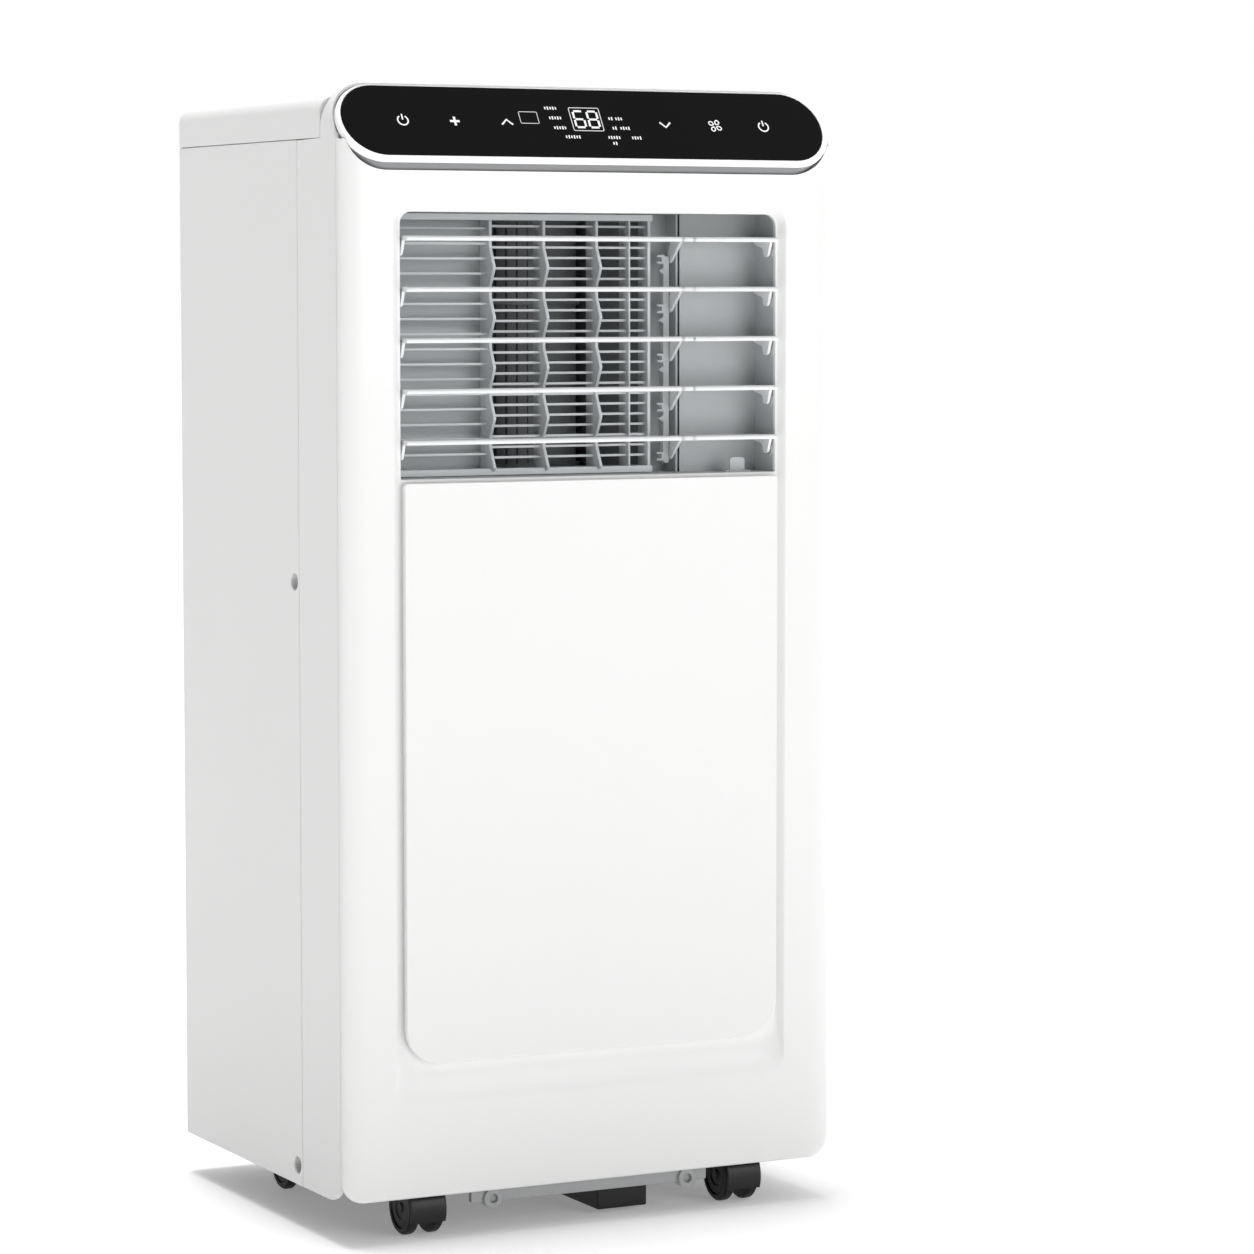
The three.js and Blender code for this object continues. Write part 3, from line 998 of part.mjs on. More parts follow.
function dischargePipe() {
  const x = COMPRESSOR_X;
  const y = COMPRESSOR_SETBACK;
  return node('discharge_pipe', pipe([
    [x, y, COMPRESSOR_TOP + GAP], [x, y, COMPRESSOR_TOP + 16], [x - 16, y + 30, COMPRESSOR_TOP + 26],
    [x - 34, y + 60, COMPRESSOR_TOP + 10], [x - 35, y + 95, COMPRESSOR_TOP - 20],
    [-COIL_HALF - 20, COIL_FRONT + 10, COMPRESSOR_TOP - 30],
  ], PIPE_RADIUS, 3), 'copper');
}

// Filter-drier on the liquid line and the thin capillary that feeds the evaporator.
function capillaryDrier() {
  const x = -ACCUMULATOR_X;
  const y = ACCUMULATOR_SETBACK;
  const drier = turned('Z', [[0, 240], [3, 240], [8, 250], [8, 300], [3, 312], [0, 312]], x, y, 12);
  const capillary = pipe([
    [x, y, 308], [x, y, DECK_BOTTOM], [x, y, DECK_TOP + 20], [x - 4, y + 22, DECK_TOP + 34],
    [COIL_HALF + 14, COIL_FRONT + 10, DECK_TOP + 40],
  ], 2, 3);
  return node('capillary_drier', join(drier, capillary), 'copper');
}

function exhaustScroll() {
  const outline = (inset) => {
    const shape = new THREE.Shape();
    const r = SCROLL_RADIUS - inset;
    const half = PLENUM_HALF - inset;
    const meet = Math.asin(half / r);
    shape.absarc(0, EXHAUST_AXIS_HEIGHT, r, Math.PI / 2 + meet, 2.5 * Math.PI - meet, false);
    shape.lineTo(half, PLENUM_TOP - inset);
    shape.lineTo(-half, PLENUM_TOP - inset);
    return shape;
  };
  const outer = prism('Y', outline(0), SCROLL_FRONT, SCROLL_BACK, 20);
  const inner = prism('Y', outline(THIN), SCROLL_FRONT + THIN, SCROLL_BACK - THIN, 20);
  const mouth = round('Y', 0, EXHAUST_AXIS_HEIGHT, EXHAUST_WHEEL_RADIUS - INLET_LIP,
    SCROLL_BACK - 5, SCROLL_BACK + 5);
  const shaftHole = round('Y', 0, EXHAUST_AXIS_HEIGHT, SHAFT_RADIUS + 2,
    SCROLL_FRONT - 5, SCROLL_FRONT + 5, 12);
  const stubEnd = REAR_INSIDE - COLLAR_INSERT - GAP;
  const stub = round('Y', 0, COLLAR_HEIGHT, COLLAR_RADIUS, SCROLL_BACK - 1, stubEnd, COLLAR_SIDES);
  const stubBore = round('Y', 0, COLLAR_HEIGHT, COLLAR_RADIUS - WALL,
    SCROLL_BACK - 5, stubEnd + 1, COLLAR_SIDES);
  return node('exhaust_scroll', cut(join(cut(outer, inner), stub), mouth, shaftHole, stubBore), 'duct');
}

function exhaustFanWheel() {
  const depth = SCROLL_BACK - SCROLL_FRONT - 2 * THIN - 2 * EXHAUST_END_ROOM;
  const wheel = fanWheel(EXHAUST_WHEEL_RADIUS, EXHAUST_BLADES, EXHAUST_CHORD, 0, depth,
    EXHAUST_HUB, SHAFT_RADIUS);
  const mesh = node('exhaust_fan_wheel', wheel, 'black');
  mesh.rotation.x = -Math.PI / 2;
  mesh.position.set(0, SCROLL_FRONT + THIN + EXHAUST_END_ROOM, EXHAUST_AXIS_HEIGHT);
  return mesh;
}

function exhaustFanMotor() {
  const back = SCROLL_FRONT - GAP;
  const can = round('Y', 0, EXHAUST_AXIS_HEIGHT, EXHAUST_MOTOR_RADIUS, back - EXHAUST_MOTOR_LENGTH, back);
  const shaft = round('Y', 0, EXHAUST_AXIS_HEIGHT, SHAFT_RADIUS, back - 1, back + EXHAUST_SHAFT_REACH, 12);
  return node('exhaust_fan_motor', join(can, shaft), 'steel');
}

// ---------------------------------------------------------------- electrics
const boxRight = INSIDE - 4;
const boxLeft = boxRight - BOX_WIDTH;

function controlBox() {
  const body = box(boxLeft, boxRight, BOX_FRONT, BOX_BACK, BOX_BOTTOM, BOX_TOP);
  const room = box(boxLeft - 1, boxRight - THIN, BOX_FRONT + THIN, BOX_BACK - THIN,
    BOX_BOTTOM + THIN, BOX_TOP - THIN);
  return node('control_box', cut(body, room), 'black');
}

function mainBoard() {
  const face = boxRight - THIN - BOARD_STANDOFF;
  const [y0, y1] = [BOX_FRONT + 2 * THIN, BOX_BACK - 2 * THIN];
  const board = box(face - BOARD_THICK, face, y0, y1, BOX_BOTTOM + 70, BOX_TOP - 6);
  const blocks = BOARD_BLOCKS.map(({ up, size, rise }) => box(
    face - BOARD_THICK - rise, face - 1, y0 + BLOCK_SETBACK, y0 + BLOCK_SETBACK + size,
    BOX_BOTTOM + up, BOX_BOTTOM + up + size));
  return node('main_board', join(board, ...blocks), 'board');
}

function runCapacitor() {
  const x = (boxLeft + boxRight) / 2;
  return node('run_capacitor', round('Z', x, (BOX_FRONT + BOX_BACK) / 2, CAPACITOR_RADIUS,
    BOX_BOTTOM + THIN + GAP, BOX_BOTTOM + THIN + CAPACITOR_LENGTH), 'steel');
}

// ---------------------------------------------------------------- the machine
const machine = new THREE.Group();
machine.add(
  frontFascia(), frontPanel(), frontFrame(), rearShell(), topCover(),
  controlBezel(), controlGlass(), displayBoard(),
  outletDuct(), guardGrille(), ...repeat(LOUVRE_COUNT, louvre), linkRod(), louvreMotor(),
  airGuide(), blowerWheel(), blowerMotor(),
  finnedCoil('evaporator_coil', DRIP_FLOOR + THIN + 4, UPPER_GRILLE_TOP - 6, 4), midDeck(),
  slottedGrille('upper_intake_grille', UPPER_GRILLE_WIDTH / 2, UPPER_GRILLE_BOTTOM, UPPER_GRILLE_TOP),
  upperFilter(),
  slottedGrille('lower_intake_grille', LOWER_GRILLE_WIDTH / 2, LOWER_GRILLE_BOTTOM, LOWER_GRILLE_TOP),
  exhaustCollar(),
  drainCap('upper_drain_cap', UPPER_DRAIN_SIDE, UPPER_DRAIN_HEIGHT),
  drainCap('lower_drain_cap', 0, LOWER_DRAIN_HEIGHT),
  cordGland(),
  basePan(), condensateBasin(), frontFootRail(), drainTray(),
  ...casterPlaces.flatMap((place) => [casterFork(place), casterWheel(place, -1), casterWheel(place, 1)]),
  compressor(), accumulator(), suctionPipe(), dischargePipe(), capillaryDrier(),
  finnedCoil('condenser_coil', CONDENSER_BOTTOM, CONDENSER_TOP, 4),
  exhaustScroll(), exhaustFanWheel(), exhaustFanMotor(),
  controlBox(), mainBoard(), runCapacitor(),
);
machine.position.set(0, -(FRONT_MOST + REAR_MOST) / 2, FLOOR_CLEARANCE);

const airConditioner = new THREE.Group();
airConditioner.add(machine);

export default airConditioner;
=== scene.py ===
"""Looks of a portable air conditioner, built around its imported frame.

Shapes are drawn in millimetres, from the fascia's front plane and the cabinet's lower edge: across is X,
back is Y, up is Z. add_piece turns them into metres in the frame. Each shape starts from outlines that
bmesh operators extrude, fill, spin and cut.
"""

import math
from types import SimpleNamespace

import bmesh
import bpy
from bpy.props import FloatProperty, FloatVectorProperty, IntProperty, PointerProperty
from mathutils import Matrix, Vector


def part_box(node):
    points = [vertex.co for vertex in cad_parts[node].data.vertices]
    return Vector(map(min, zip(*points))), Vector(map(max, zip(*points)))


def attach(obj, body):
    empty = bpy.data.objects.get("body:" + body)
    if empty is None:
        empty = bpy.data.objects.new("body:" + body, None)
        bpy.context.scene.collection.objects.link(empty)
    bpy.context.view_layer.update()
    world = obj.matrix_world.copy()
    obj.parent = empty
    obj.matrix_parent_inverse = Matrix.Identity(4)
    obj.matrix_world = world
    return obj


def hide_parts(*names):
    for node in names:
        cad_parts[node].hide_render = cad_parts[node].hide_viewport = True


bl_info = {
    "name": "Portable air conditioner",
    "version": (1, 0, 0),
    "blender": (4, 5, 0),
    "location": "View3D > Sidebar > Air conditioner",
    "description": "Builds the visible pieces of a portable air conditioner around its frame",
    "category": "Object",
}

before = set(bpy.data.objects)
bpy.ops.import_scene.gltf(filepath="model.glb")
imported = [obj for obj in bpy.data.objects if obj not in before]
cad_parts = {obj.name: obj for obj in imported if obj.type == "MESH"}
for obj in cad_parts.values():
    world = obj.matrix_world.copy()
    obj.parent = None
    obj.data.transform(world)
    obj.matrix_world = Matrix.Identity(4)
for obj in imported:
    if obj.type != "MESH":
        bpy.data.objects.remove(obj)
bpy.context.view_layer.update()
MM = 0.001
PANEL_PROUD = 1.5
ORIGIN = Vector((0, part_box("front_panel")[0].y + PANEL_PROUD * MM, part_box("rear_shell")[0].z))


def span(node):
    """A node's box at rest, in millimetres from the fascia plane and the cabinet's lower edge."""
    low, high = [(corner - ORIGIN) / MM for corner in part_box(node)]
    return SimpleNamespace(x0=low.x, x1=high.x, y0=low.y, y1=high.y, z0=low.z, z1=high.z,
                           x=(low.x + high.x) / 2, y=(low.y + high.y) / 2, z=(low.z + high.z) / 2)


# ---------------------------------------------------------------- sizes of the machine
SHELL = span("rear_shell")
FRAME = span("front_frame")
COVER = span("top_cover")
PANEL = span("front_panel")
DUCT = span("outlet_duct")
GUARD = span("guard_grille")
BLADE = span("louvre_1")
ROD = span("link_rod")
WHEEL = span("blower_wheel")
BEZEL = span("control_bezel")
GLASS = span("control_glass")
COLLAR = span("exhaust_collar")
HALF = SHELL.x1
WALL = 2.5
GAP = 0.3
DUCT_WALL = 3
OUTLET_HALF = DUCT.x1 - DUCT_WALL
OUTLET_LOW = DUCT.z0 + DUCT_WALL
OUTLET_HIGH = DUCT.z1 - DUCT_WALL
OUTLET_RADIUS = 7

FASCIA_THICK = 5.5
FASCIA_EDGE = 17.4
FASCIA_CREASE = 4.7
FASCIA_RISE = 2.2
FASCIA_FOOT = 14
FASCIA_TOP = span("front_fascia").z1

HEAD_TILT = math.radians(32.5)
HEAD_CENTRE = Vector((0, (GLASS.y0 + GLASS.y1) / 2, (GLASS.z0 + GLASS.z1) / 2))
GLASS_THICK = 2
GLASS_RADIUS = 24.4
GLASS_HALF = GLASS.x1 - GLASS_RADIUS
HEAD_UP = Vector((0, math.sin(HEAD_TILT), math.cos(HEAD_TILT)))
HEAD_IN = Vector((0, math.cos(HEAD_TILT), -math.sin(HEAD_TILT)))
RIM_RADIUS = 26.4
BAND_HALF = 134.7
BAND_RADIUS = 26.1
BAND_FOOT = 632.2
SHOULDER = 27
HEAD_REAR = 29
REAR_CORNER = 8.5
SEAM_UP = SHELL.z1

LOUVRES = 5
LOUVRE_PITCH = 30
# Places on a louvre, back and up from its blade's front edge.
PIVOT = (9.5, -8)
CRANK_PIN = (30, -12)
SCREW_CUPS = [(72, 12), (72, 366)]
CUP_RADIUS = 5.2
COLLAR_TUBE = 72
FITTING_HOLE = 8


def plane(across, up, inward, at=(0, 0, 0)):
    """Where an outline's two directions and its depth point to."""
    turned_to = Matrix((Vector(across), Vector(up), Vector(inward))).transposed().to_4x4()
    turned_to.translation = Vector(at)
    return turned_to


def front_plane(at=(0, 0, 0)):
    return plane((1, 0, 0), (0, 0, 1), (0, 1, 0), at)


def back_plane(at=(0, 0, 0)):
    return plane((1, 0, 0), (0, 0, 1), (0, -1, 0), at)


def side_plane(at=(0, 0, 0), way=1):
    """Across is back, up is up, and depth goes right, or left where way is -1."""
    return plane((0, 1, 0), (0, 0, 1), (way, 0, 0), at)


def plan_plane(at=(0, 0, 0)):
    return plane((1, 0, 0), (0, 1, 0), (0, 0, 1), at)


def spoke_plane(degrees, at):
    """Across is along a round fitting's rim, up is back, and depth goes out along its spoke."""
    turn = math.radians(degrees)
    return plane((-math.sin(turn), 0, math.cos(turn)), (0, 1, 0), (math.cos(turn), 0, math.sin(turn)), at)


HEAD_PLANE = plane((1, 0, 0), HEAD_UP, HEAD_IN, HEAD_CENTRE - HEAD_IN * GLASS_THICK / 2)


# ---------------------------------------------------------------- outlines
def arc(u, v, radius_u, radius_v, start, end, steps):
    turns = [math.radians(start + (end - start) * i / steps) for i in range(steps + 1)]
    return [(u + radius_u * math.cos(a), v + radius_v * math.sin(a)) for a in turns]


def rounded(u0, u1, v0, v1, low, high=None, steps=6):
    """Rectangle with one radius for its lower corners and one for its upper corners."""
    high = low if high is None else high
    return (arc(u0 + low, v0 + low, low, low, 180, 270, steps)
            + arc(u1 - low, v0 + low, low, low, 270, 360, steps)
            + arc(u1 - high, v1 - high, high, high, 0, 90, steps)
            + arc(u0 + high, v1 - high, high, high, 90, 180, steps))


def square(u0, u1, v0, v1):
    return [(u0, v0), (u1, v0), (u1, v1), (u0, v1)]


def circle(u, v, radius, steps=32):
    return arc(u, v, radius, radius, 0, 360, steps)[:-1]


def stadium(half, radius, shift=0, steps=16):
    return (arc(half, shift, radius, radius, -90, 90, steps)
            + arc(-half, shift, radius, radius, 90, 270, steps))


def offset(outline, inward):
    """The outline, which runs anticlockwise, moved inwards along its corners' bisectors."""
    moved = []
    for i, point in enumerate(outline):
        before = Vector(point) - Vector(outline[i - 1])
        after = Vector(outline[(i + 1) % len(outline)]) - Vector(point)
        first = Vector((-before.y, before.x)).normalized()
        second = Vector((-after.y, after.x)).normalized()
        moved.append(Vector(point) + (first + second) * inward / (1 + first.dot(second)))
    return moved


def eased(points, radius, steps=3, closed=True):
    """The corners of a path, each replaced by a short curve."""
    points = [Vector(p) for p in points]
    made = [] if closed else [points[0]]
    middle = range(len(points)) if closed else range(1, len(points) - 1)
    for i in middle:
        corner = points[i]
        back, ahead = points[i - 1] - corner, points[(i + 1) % len(points)] - corner
        cut = min(radius, 0.45 * back.length, 0.45 * ahead.length)
        start, end = corner + back.normalized() * cut, corner + ahead.normalized() * cut
        for k in range(steps + 1):
            t = k / steps
            made.append(start * (1 - t) ** 2 + corner * 2 * t * (1 - t) + end * t ** 2)
    return made if closed else made + [points[-1]]


# ---------------------------------------------------------------- mesh work
def edges_of(bm, verts):
    return [bm.edges.get((verts[i - 1], verts[i])) for i in range(len(verts))]


def ring(bm, place, outline, depth):
    verts = [bm.verts.new(place @ Vector((u, v, depth))) for u, v in outline]
    for i in range(len(verts)):
        bm.edges.new((verts[i - 1], verts[i]))
    return verts


def grow(bm, verts, place, outline, depth):
    """Extrudes a ring of edges and carries the new ring to an outline of as many points."""
    made = bmesh.ops.extrude_edge_only(bm, edges=edges_of(bm, verts))["geom"]
    fresh = {v for v in made if isinstance(v, bmesh.types.BMVert)}
    following = []
    for vert, (u, v) in zip(verts, outline):
        other = next(e.other_vert(vert) for e in vert.link_edges if e.other_vert(vert) in fresh)
        other.co = place @ Vector((u, v, depth))
        following.append(other)
    return following


def fill(bm, *rings):
    """A flat face inside the first ring, with the others as its holes."""
    edges = [edge for verts in rings for edge in edges_of(bm, verts)]
    if len(rings) == 1:
        bmesh.ops.contextual_create(bm, geom=edges)
    else:
        bmesh.ops.triangle_fill(bm, use_beauty=True, edges=edges)


def quarter(radius, steps=3):
    """Inset and depth along a rounded edge, from the face to the wall."""
    turns = [math.pi / 2 * (1 - i / steps) for i in range(steps + 1)]
    return [(radius * (1 - math.cos(a)), radius * (1 - math.sin(a))) for a in turns]


def plate(bm, place, outline, front, back, edge=0.5, holes=(), steps=3):
    """A plate with round edges and round-edged holes."""
    sign = 1 if back > front else -1
    profile = [(i, front + sign * d) for i, d in quarter(edge, steps)]
    profile += [(i, back - sign * d) for i, d in reversed(quarter(edge, steps))]
    starts, ends = [], []
    for shape, way in [(outline, 1)] + [(hole, -1) for hole in holes]:
        inset, depth = profile[0]
        current = ring(bm, place, offset(shape, way * inset), depth)
        starts.append(current)
        for inset, depth in profile[1:]:
            current = grow(bm, current, place, offset(shape, way * inset), depth)
        ends.append(current)
    fill(bm, *starts)
    fill(bm, *ends)


def loft(bm, place, sections, close=False):
    """Rings of equal count, each an outline and its depth, with flat ends or joined into a tube ring."""
    current = first = ring(bm, place, *sections[0])
    for outline, depth in sections[1:]:
        current = grow(bm, current, place, outline, depth)
    if close:
        bmesh.ops.bridge_loops(bm, edges=edges_of(bm, first) + edges_of(bm, current))
    else:
        fill(bm, first)
        fill(bm, current)


def turned(bm, place, profile, steps=48, closed=False, ease=0.4):
    """A profile of radius and depth, spun about the plane's depth axis."""
    known = set(bm.verts)
    path = eased(profile, ease, closed=closed) if ease else profile
    verts = [bm.verts.new(place @ Vector((max(r, 0), 0, depth))) for r, depth in path]
    edges = [bm.edges.new(pair) for pair in zip(verts, verts[1:])]
    if closed:
        edges.append(bm.edges.new((verts[-1], verts[0])))
    bmesh.ops.spin(bm, geom=verts + edges, cent=place.translation, axis=place.col[2].to_3d(),
                   dvec=(0, 0, 0), angle=2 * math.pi, steps=steps, use_merge=True)
    bmesh.ops.remove_doubles(bm, verts=[v for v in bm.verts if v not in known], dist=0.002)


def stroke(bm, place, path, width, closed=False, lift=0.08):
    """A raised line of one width along a path, for marks on the glass."""
    if closed:
        plate(bm, place, offset(path, -width / 2), -lift, GAP, 0.02, [offset(path, width / 2)], steps=1)
        return
    points = [Vector(p) for p in path]
    left, right = [], []
    for i, point in enumerate(points):
        run = (points[min(i + 1, len(points) - 1)] - points[max(i - 1, 0)]).normalized()
        side = Vector((-run.y, run.x)) * width / 2
        left.append(point + side)
        right.append(point - side)
    plate(bm, place, right + left[::-1], -lift, GAP, 0.02, steps=1)


def wrapped(distance, depth, side, radius, half):
    """Point of a wall that runs up one side, round a corner, across, and back: across and along."""
    bend = radius * math.pi / 2
    total = 2 * side + 2 * bend + 2 * (half - radius)
    mirrored = distance > total / 2
    if mirrored:
        distance = total - distance
    if distance <= side:
        across, along = -half + depth, distance
    elif distance < side + bend:
        turn = (distance - side) / radius
        across = -half + radius - (radius - depth) * math.cos(turn)
        along = side + (radius - depth) * math.sin(turn)
    else:
        across, along = -half + radius + distance - side - bend, side + radius - depth
    return (-across if mirrored else across), along


def roll_up(bm, side, radius, half, to_space, cuts=10):
    """Cuts a flat pattern across its two bends and rolls it into a U."""
    bend = radius * math.pi / 2
    total = 2 * side + 2 * bend + 2 * (half - radius)
    marks = [side + bend * i / cuts for i in range(cuts + 1)]
    for mark in marks + [total - m for m in marks]:
        geometry = bm.verts[:] + bm.edges[:] + bm.faces[:]
        bmesh.ops.bisect_plane(bm, geom=geometry, dist=0.001, plane_co=(mark, 0, 0), plane_no=(1, 0, 0))
    for vert in bm.verts:
        distance, other, depth = vert.co
        vert.co = to_space(*wrapped(distance, depth, side, radius, half), other)


SHARP = 40


def add_piece(bm, name, body, finish, stands_for=(), sharp=SHARP):
    """Closes a mesh into a finished piece in metres, riding on its body."""
    bmesh.ops.recalc_face_normals(bm, faces=bm.faces)
    bm.transform(Matrix.Translation(ORIGIN) @ Matrix.Scale(MM, 4))
    store(bm, name, body, finish, stands_for, sharp)


def store(bm, name, body, finish, stands_for, sharp):
    """Makes the object of a mesh that is in metres already."""
    mesh = bpy.data.meshes.new(name)
    bm.to_mesh(mesh)
    bm.free()
    mesh.polygons.foreach_set("use_smooth", [True] * len(mesh.polygons))
    mesh.set_sharp_from_angle(angle=math.radians(sharp))
    finishes = finish if isinstance(finish, list) else [finish]
    for each in finishes:
        mesh.materials.append(bpy.data.materials[each])
    piece = bpy.data.objects.new(name, mesh)
    bpy.context.scene.collection.objects.link(piece)
    even = piece.modifiers.new("even_shading", "WEIGHTED_NORMAL")
    even.keep_sharp = True
    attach(piece, body)
    if stands_for:
        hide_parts(*stands_for)


def refined_copy(node, finish, edge):
    """A frame node's own shape, merged and with its edges rounded."""
    bm = bmesh.new()
    bm.from_mesh(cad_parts[node].data)
    bmesh.ops.remove_doubles(bm, verts=bm.verts, dist=0.01 * MM)
    bmesh.ops.dissolve_limit(bm, angle_limit=math.radians(1), verts=bm.verts, edges=bm.edges)
    corners = [e for e in bm.edges if e.is_manifold and e.calc_face_angle(0) > math.radians(SHARP)]
    bmesh.ops.bevel(bm, geom=corners, offset=edge * MM, offset_type="OFFSET", affect="EDGES",
                    segments=2, profile=0.5, material=-1, clamp_overlap=True)
    store(bm, node + "_moulding", "cabinet", finish, [node], SHARP)


# ---------------------------------------------------------------- finishes
def new_finish(name, colour, roughness, metallic=0.0, specular=0.5, coat=0.0):
    finish = bpy.data.materials.new(name)
    finish.use_nodes = True
    shader = finish.node_tree.nodes["Principled BSDF"]
    values = {"Base Color": (*colour, 1), "Roughness": roughness, "Metallic": metallic,
              "Specular IOR Level": specular, "Coat Weight": coat}
    for label, value in values.items():
        shader.inputs[label].default_value = value
    return finish, shader


def texture(finish, kind, **values):
    """A texture node on Object coordinates, its inputs set by name."""
    tree = finish.node_tree
    where = tree.nodes.new("ShaderNodeTexCoord")
    made = tree.nodes.new(kind)
    tree.links.new(where.outputs["Object"], made.inputs["Vector"])
    for key, value in values.items():
        label = key.replace("_", " ")
        if label in made.inputs:
            made.inputs[label].default_value = value
        else:
            setattr(made, key, value)
    return made


def add_bump(finish, shader, source, strength, distance):
    tree = finish.node_tree
    bump = tree.nodes.new("ShaderNodeBump")
    bump.inputs["Strength"].default_value = strength
    bump.inputs["Distance"].default_value = distance * MM
    tree.links.new(source, bump.inputs["Height"])
    if shader.inputs["Normal"].is_linked:
        tree.links.new(shader.inputs["Normal"].links[0].from_socket, bump.inputs["Normal"])
    tree.links.new(bump.outputs["Normal"], shader.inputs["Normal"])


def vary(tree, source, socket, low, high, start=0.0, end=1.0):
    """Drives a number socket from low to high while its source goes from start to end."""
    spread = tree.nodes.new("ShaderNodeMapRange")
    for label, value in (("From Min", start), ("From Max", end), ("To Min", low), ("To Max", high)):
        spread.inputs[label].default_value = value
    tree.links.new(source, spread.inputs["Value"])
    tree.links.new(spread.outputs["Result"], socket)


def tint(finish, shader, source, first, second, low=0.0, high=1.0):
    """Blends two colours by a texture."""
    tree = finish.node_tree
    ramp = tree.nodes.new("ShaderNodeValToRGB")
    ramp.color_ramp.elements[0].position = low
    ramp.color_ramp.elements[0].color = (*first, 1)
    ramp.color_ramp.elements[1].position = high
    ramp.color_ramp.elements[1].color = (*second, 1)
    tree.links.new(source, ramp.inputs["Fac"])
    tree.links.new(ramp.outputs["Color"], shader.inputs["Base Color"])


def shade(colour, factor):
    return tuple(min(1.0, c * factor) for c in colour)


def moulded(name, colour, roughness, grain, depth, specular=0.5, spread=0.05, coat=0.0, drift=0.02):
    """Moulded plastic: a fine spark-eroded grain, soft flow marks, and dust-fine change of gloss."""
    finish, shader = new_finish(name, colour, roughness, 0.0, specular, coat)
    fine = texture(finish, "ShaderNodeTexNoise", Scale=1 / (grain * MM), Detail=2.0)
    broad = texture(finish, "ShaderNodeTexNoise", Scale=9.0, Detail=3.0)
    tint(finish, shader, broad.outputs["Fac"], shade(colour, 1 - drift), shade(colour, 1 + drift))
    vary(finish.node_tree, broad.outputs["Fac"], shader.inputs["Roughness"],
         roughness - spread, roughness + spread)
    add_bump(finish, shader, fine.outputs["Fac"], 0.35, depth)


def brushed(name, colour, roughness, scale):
    """Bare or plated metal with drawn lines and faint tarnish."""
    finish, shader = new_finish(name, colour, roughness, 1.0)
    lines = texture(finish, "ShaderNodeTexWave", Scale=scale, Distortion=2.5, Detail=3.0, bands_direction="Z")
    stain = texture(finish, "ShaderNodeTexNoise", Scale=40.0, Detail=4.0)
    tint(finish, shader, stain.outputs["Fac"], shade(colour, 0.82), shade(colour, 1.08))
    vary(finish.node_tree, stain.outputs["Fac"], shader.inputs["Roughness"],
         roughness - 0.08, roughness + 0.12)
    add_bump(finish, shader, lines.outputs["Fac"], 0.2, 0.05)


FIN_WIDTH = 1.6


def finned(name, colour):
    """Stacked aluminium fins, with dark bands of painted shade for the slots between them."""
    finish, shader = new_finish(name, colour, 0.35, 0.85)
    fins = texture(finish, "ShaderNodeTexWave", Scale=1 / (FIN_WIDTH * MM * 2 * math.pi), bands_direction="X")
    # Bands at 0.12 of the fin colour are painted shade in the slots between fins.
    tint(finish, shader, fins.outputs["Fac"], shade(colour, 0.12), colour, 0.25, 0.6)
    add_bump(finish, shader, fins.outputs["Fac"], 1.0, 0.6)


def printed_board(name, colour):
    """Solder mask over tracks and pads."""
    finish, shader = new_finish(name, colour, 0.35)
    tracks = texture(finish, "ShaderNodeTexBrick", Scale=220.0, offset=0.3)
    tracks.inputs["Color1"].default_value = (*colour, 1)
    tracks.inputs["Color2"].default_value = (*shade(colour, 0.7), 1)
    tracks.inputs["Mortar"].default_value = (*shade(colour, 1.9), 1)
    finish.node_tree.links.new(tracks.outputs["Color"], shader.inputs["Base Color"])
    add_bump(finish, shader, tracks.outputs["Fac"], 0.4, 0.1)


class LooksOfFinishes(bpy.types.PropertyGroup):
    """Colours of the mouldings, glass and marks."""

    white: FloatVectorProperty(name="White", description="Fascia, panel and head", subtype="COLOR",
                               size=3, min=0, max=1, default=(0.83, 0.83, 0.825))
    # Shell colour: the fascia's white plastic, darkened as painted shade for the shaded sides.
    shell: FloatVectorProperty(name="Shell", description="Rear shell and top cover", subtype="COLOR",
                               size=3, min=0, max=1, default=(0.72, 0.72, 0.716))
    glass: FloatVectorProperty(name="Glass", description="Control glass", subtype="COLOR",
                               size=3, min=0, max=1, default=(0.0065, 0.0065, 0.007))
    marks: FloatVectorProperty(name="Marks", description="Symbols on the glass", subtype="COLOR",
                               size=3, min=0, max=1, default=(0.9, 0.9, 0.9))
    duct: FloatVectorProperty(name="Duct", description="Outlet duct, guard and louvres", subtype="COLOR",
                              size=3, min=0, max=1, default=(0.62, 0.64, 0.65))
    black: FloatVectorProperty(name="Black", description="Casters and base", subtype="COLOR",
                               size=3, min=0, max=1, default=(0.007, 0.007, 0.007))


class SizesOfDetails(bpy.types.PropertyGroup):
    """Sizes that the frame leaves open."""

    edge: FloatProperty(name="Edge radius", description="Rounding of the moulded edges",
                        subtype="DISTANCE", unit="LENGTH", default=0.0007, min=0.0002, max=0.002)
    cover_edge: FloatProperty(name="Cover edge", description="Rounding along the top cover",
                              subtype="DISTANCE", unit="LENGTH", default=0.009, min=0.003, max=0.015)
    mark_line: FloatProperty(name="Mark line", description="Line width of the symbols",
                             subtype="DISTANCE", unit="LENGTH", default=0.0009, min=0.0004, max=0.002)
    blower_blades: IntProperty(name="Blower blades", description="Blades of the blower wheel",
                               default=44, min=20, max=60)
    guard_step: FloatProperty(name="Guard pitch", description="Spacing of the guard's bars",
                              subtype="DISTANCE", unit="LENGTH", default=0.0063, min=0.005, max=0.012)
    filter_step: FloatProperty(name="Filter pitch", description="Spacing of the filter's threads",
                               subtype="DISTANCE", unit="LENGTH", default=0.0035, min=0.002, max=0.008)
    floor_size: FloatProperty(name="Floor size", description="Side of the square floor",
                              subtype="DISTANCE", unit="LENGTH", default=400.0, min=4, max=1000)


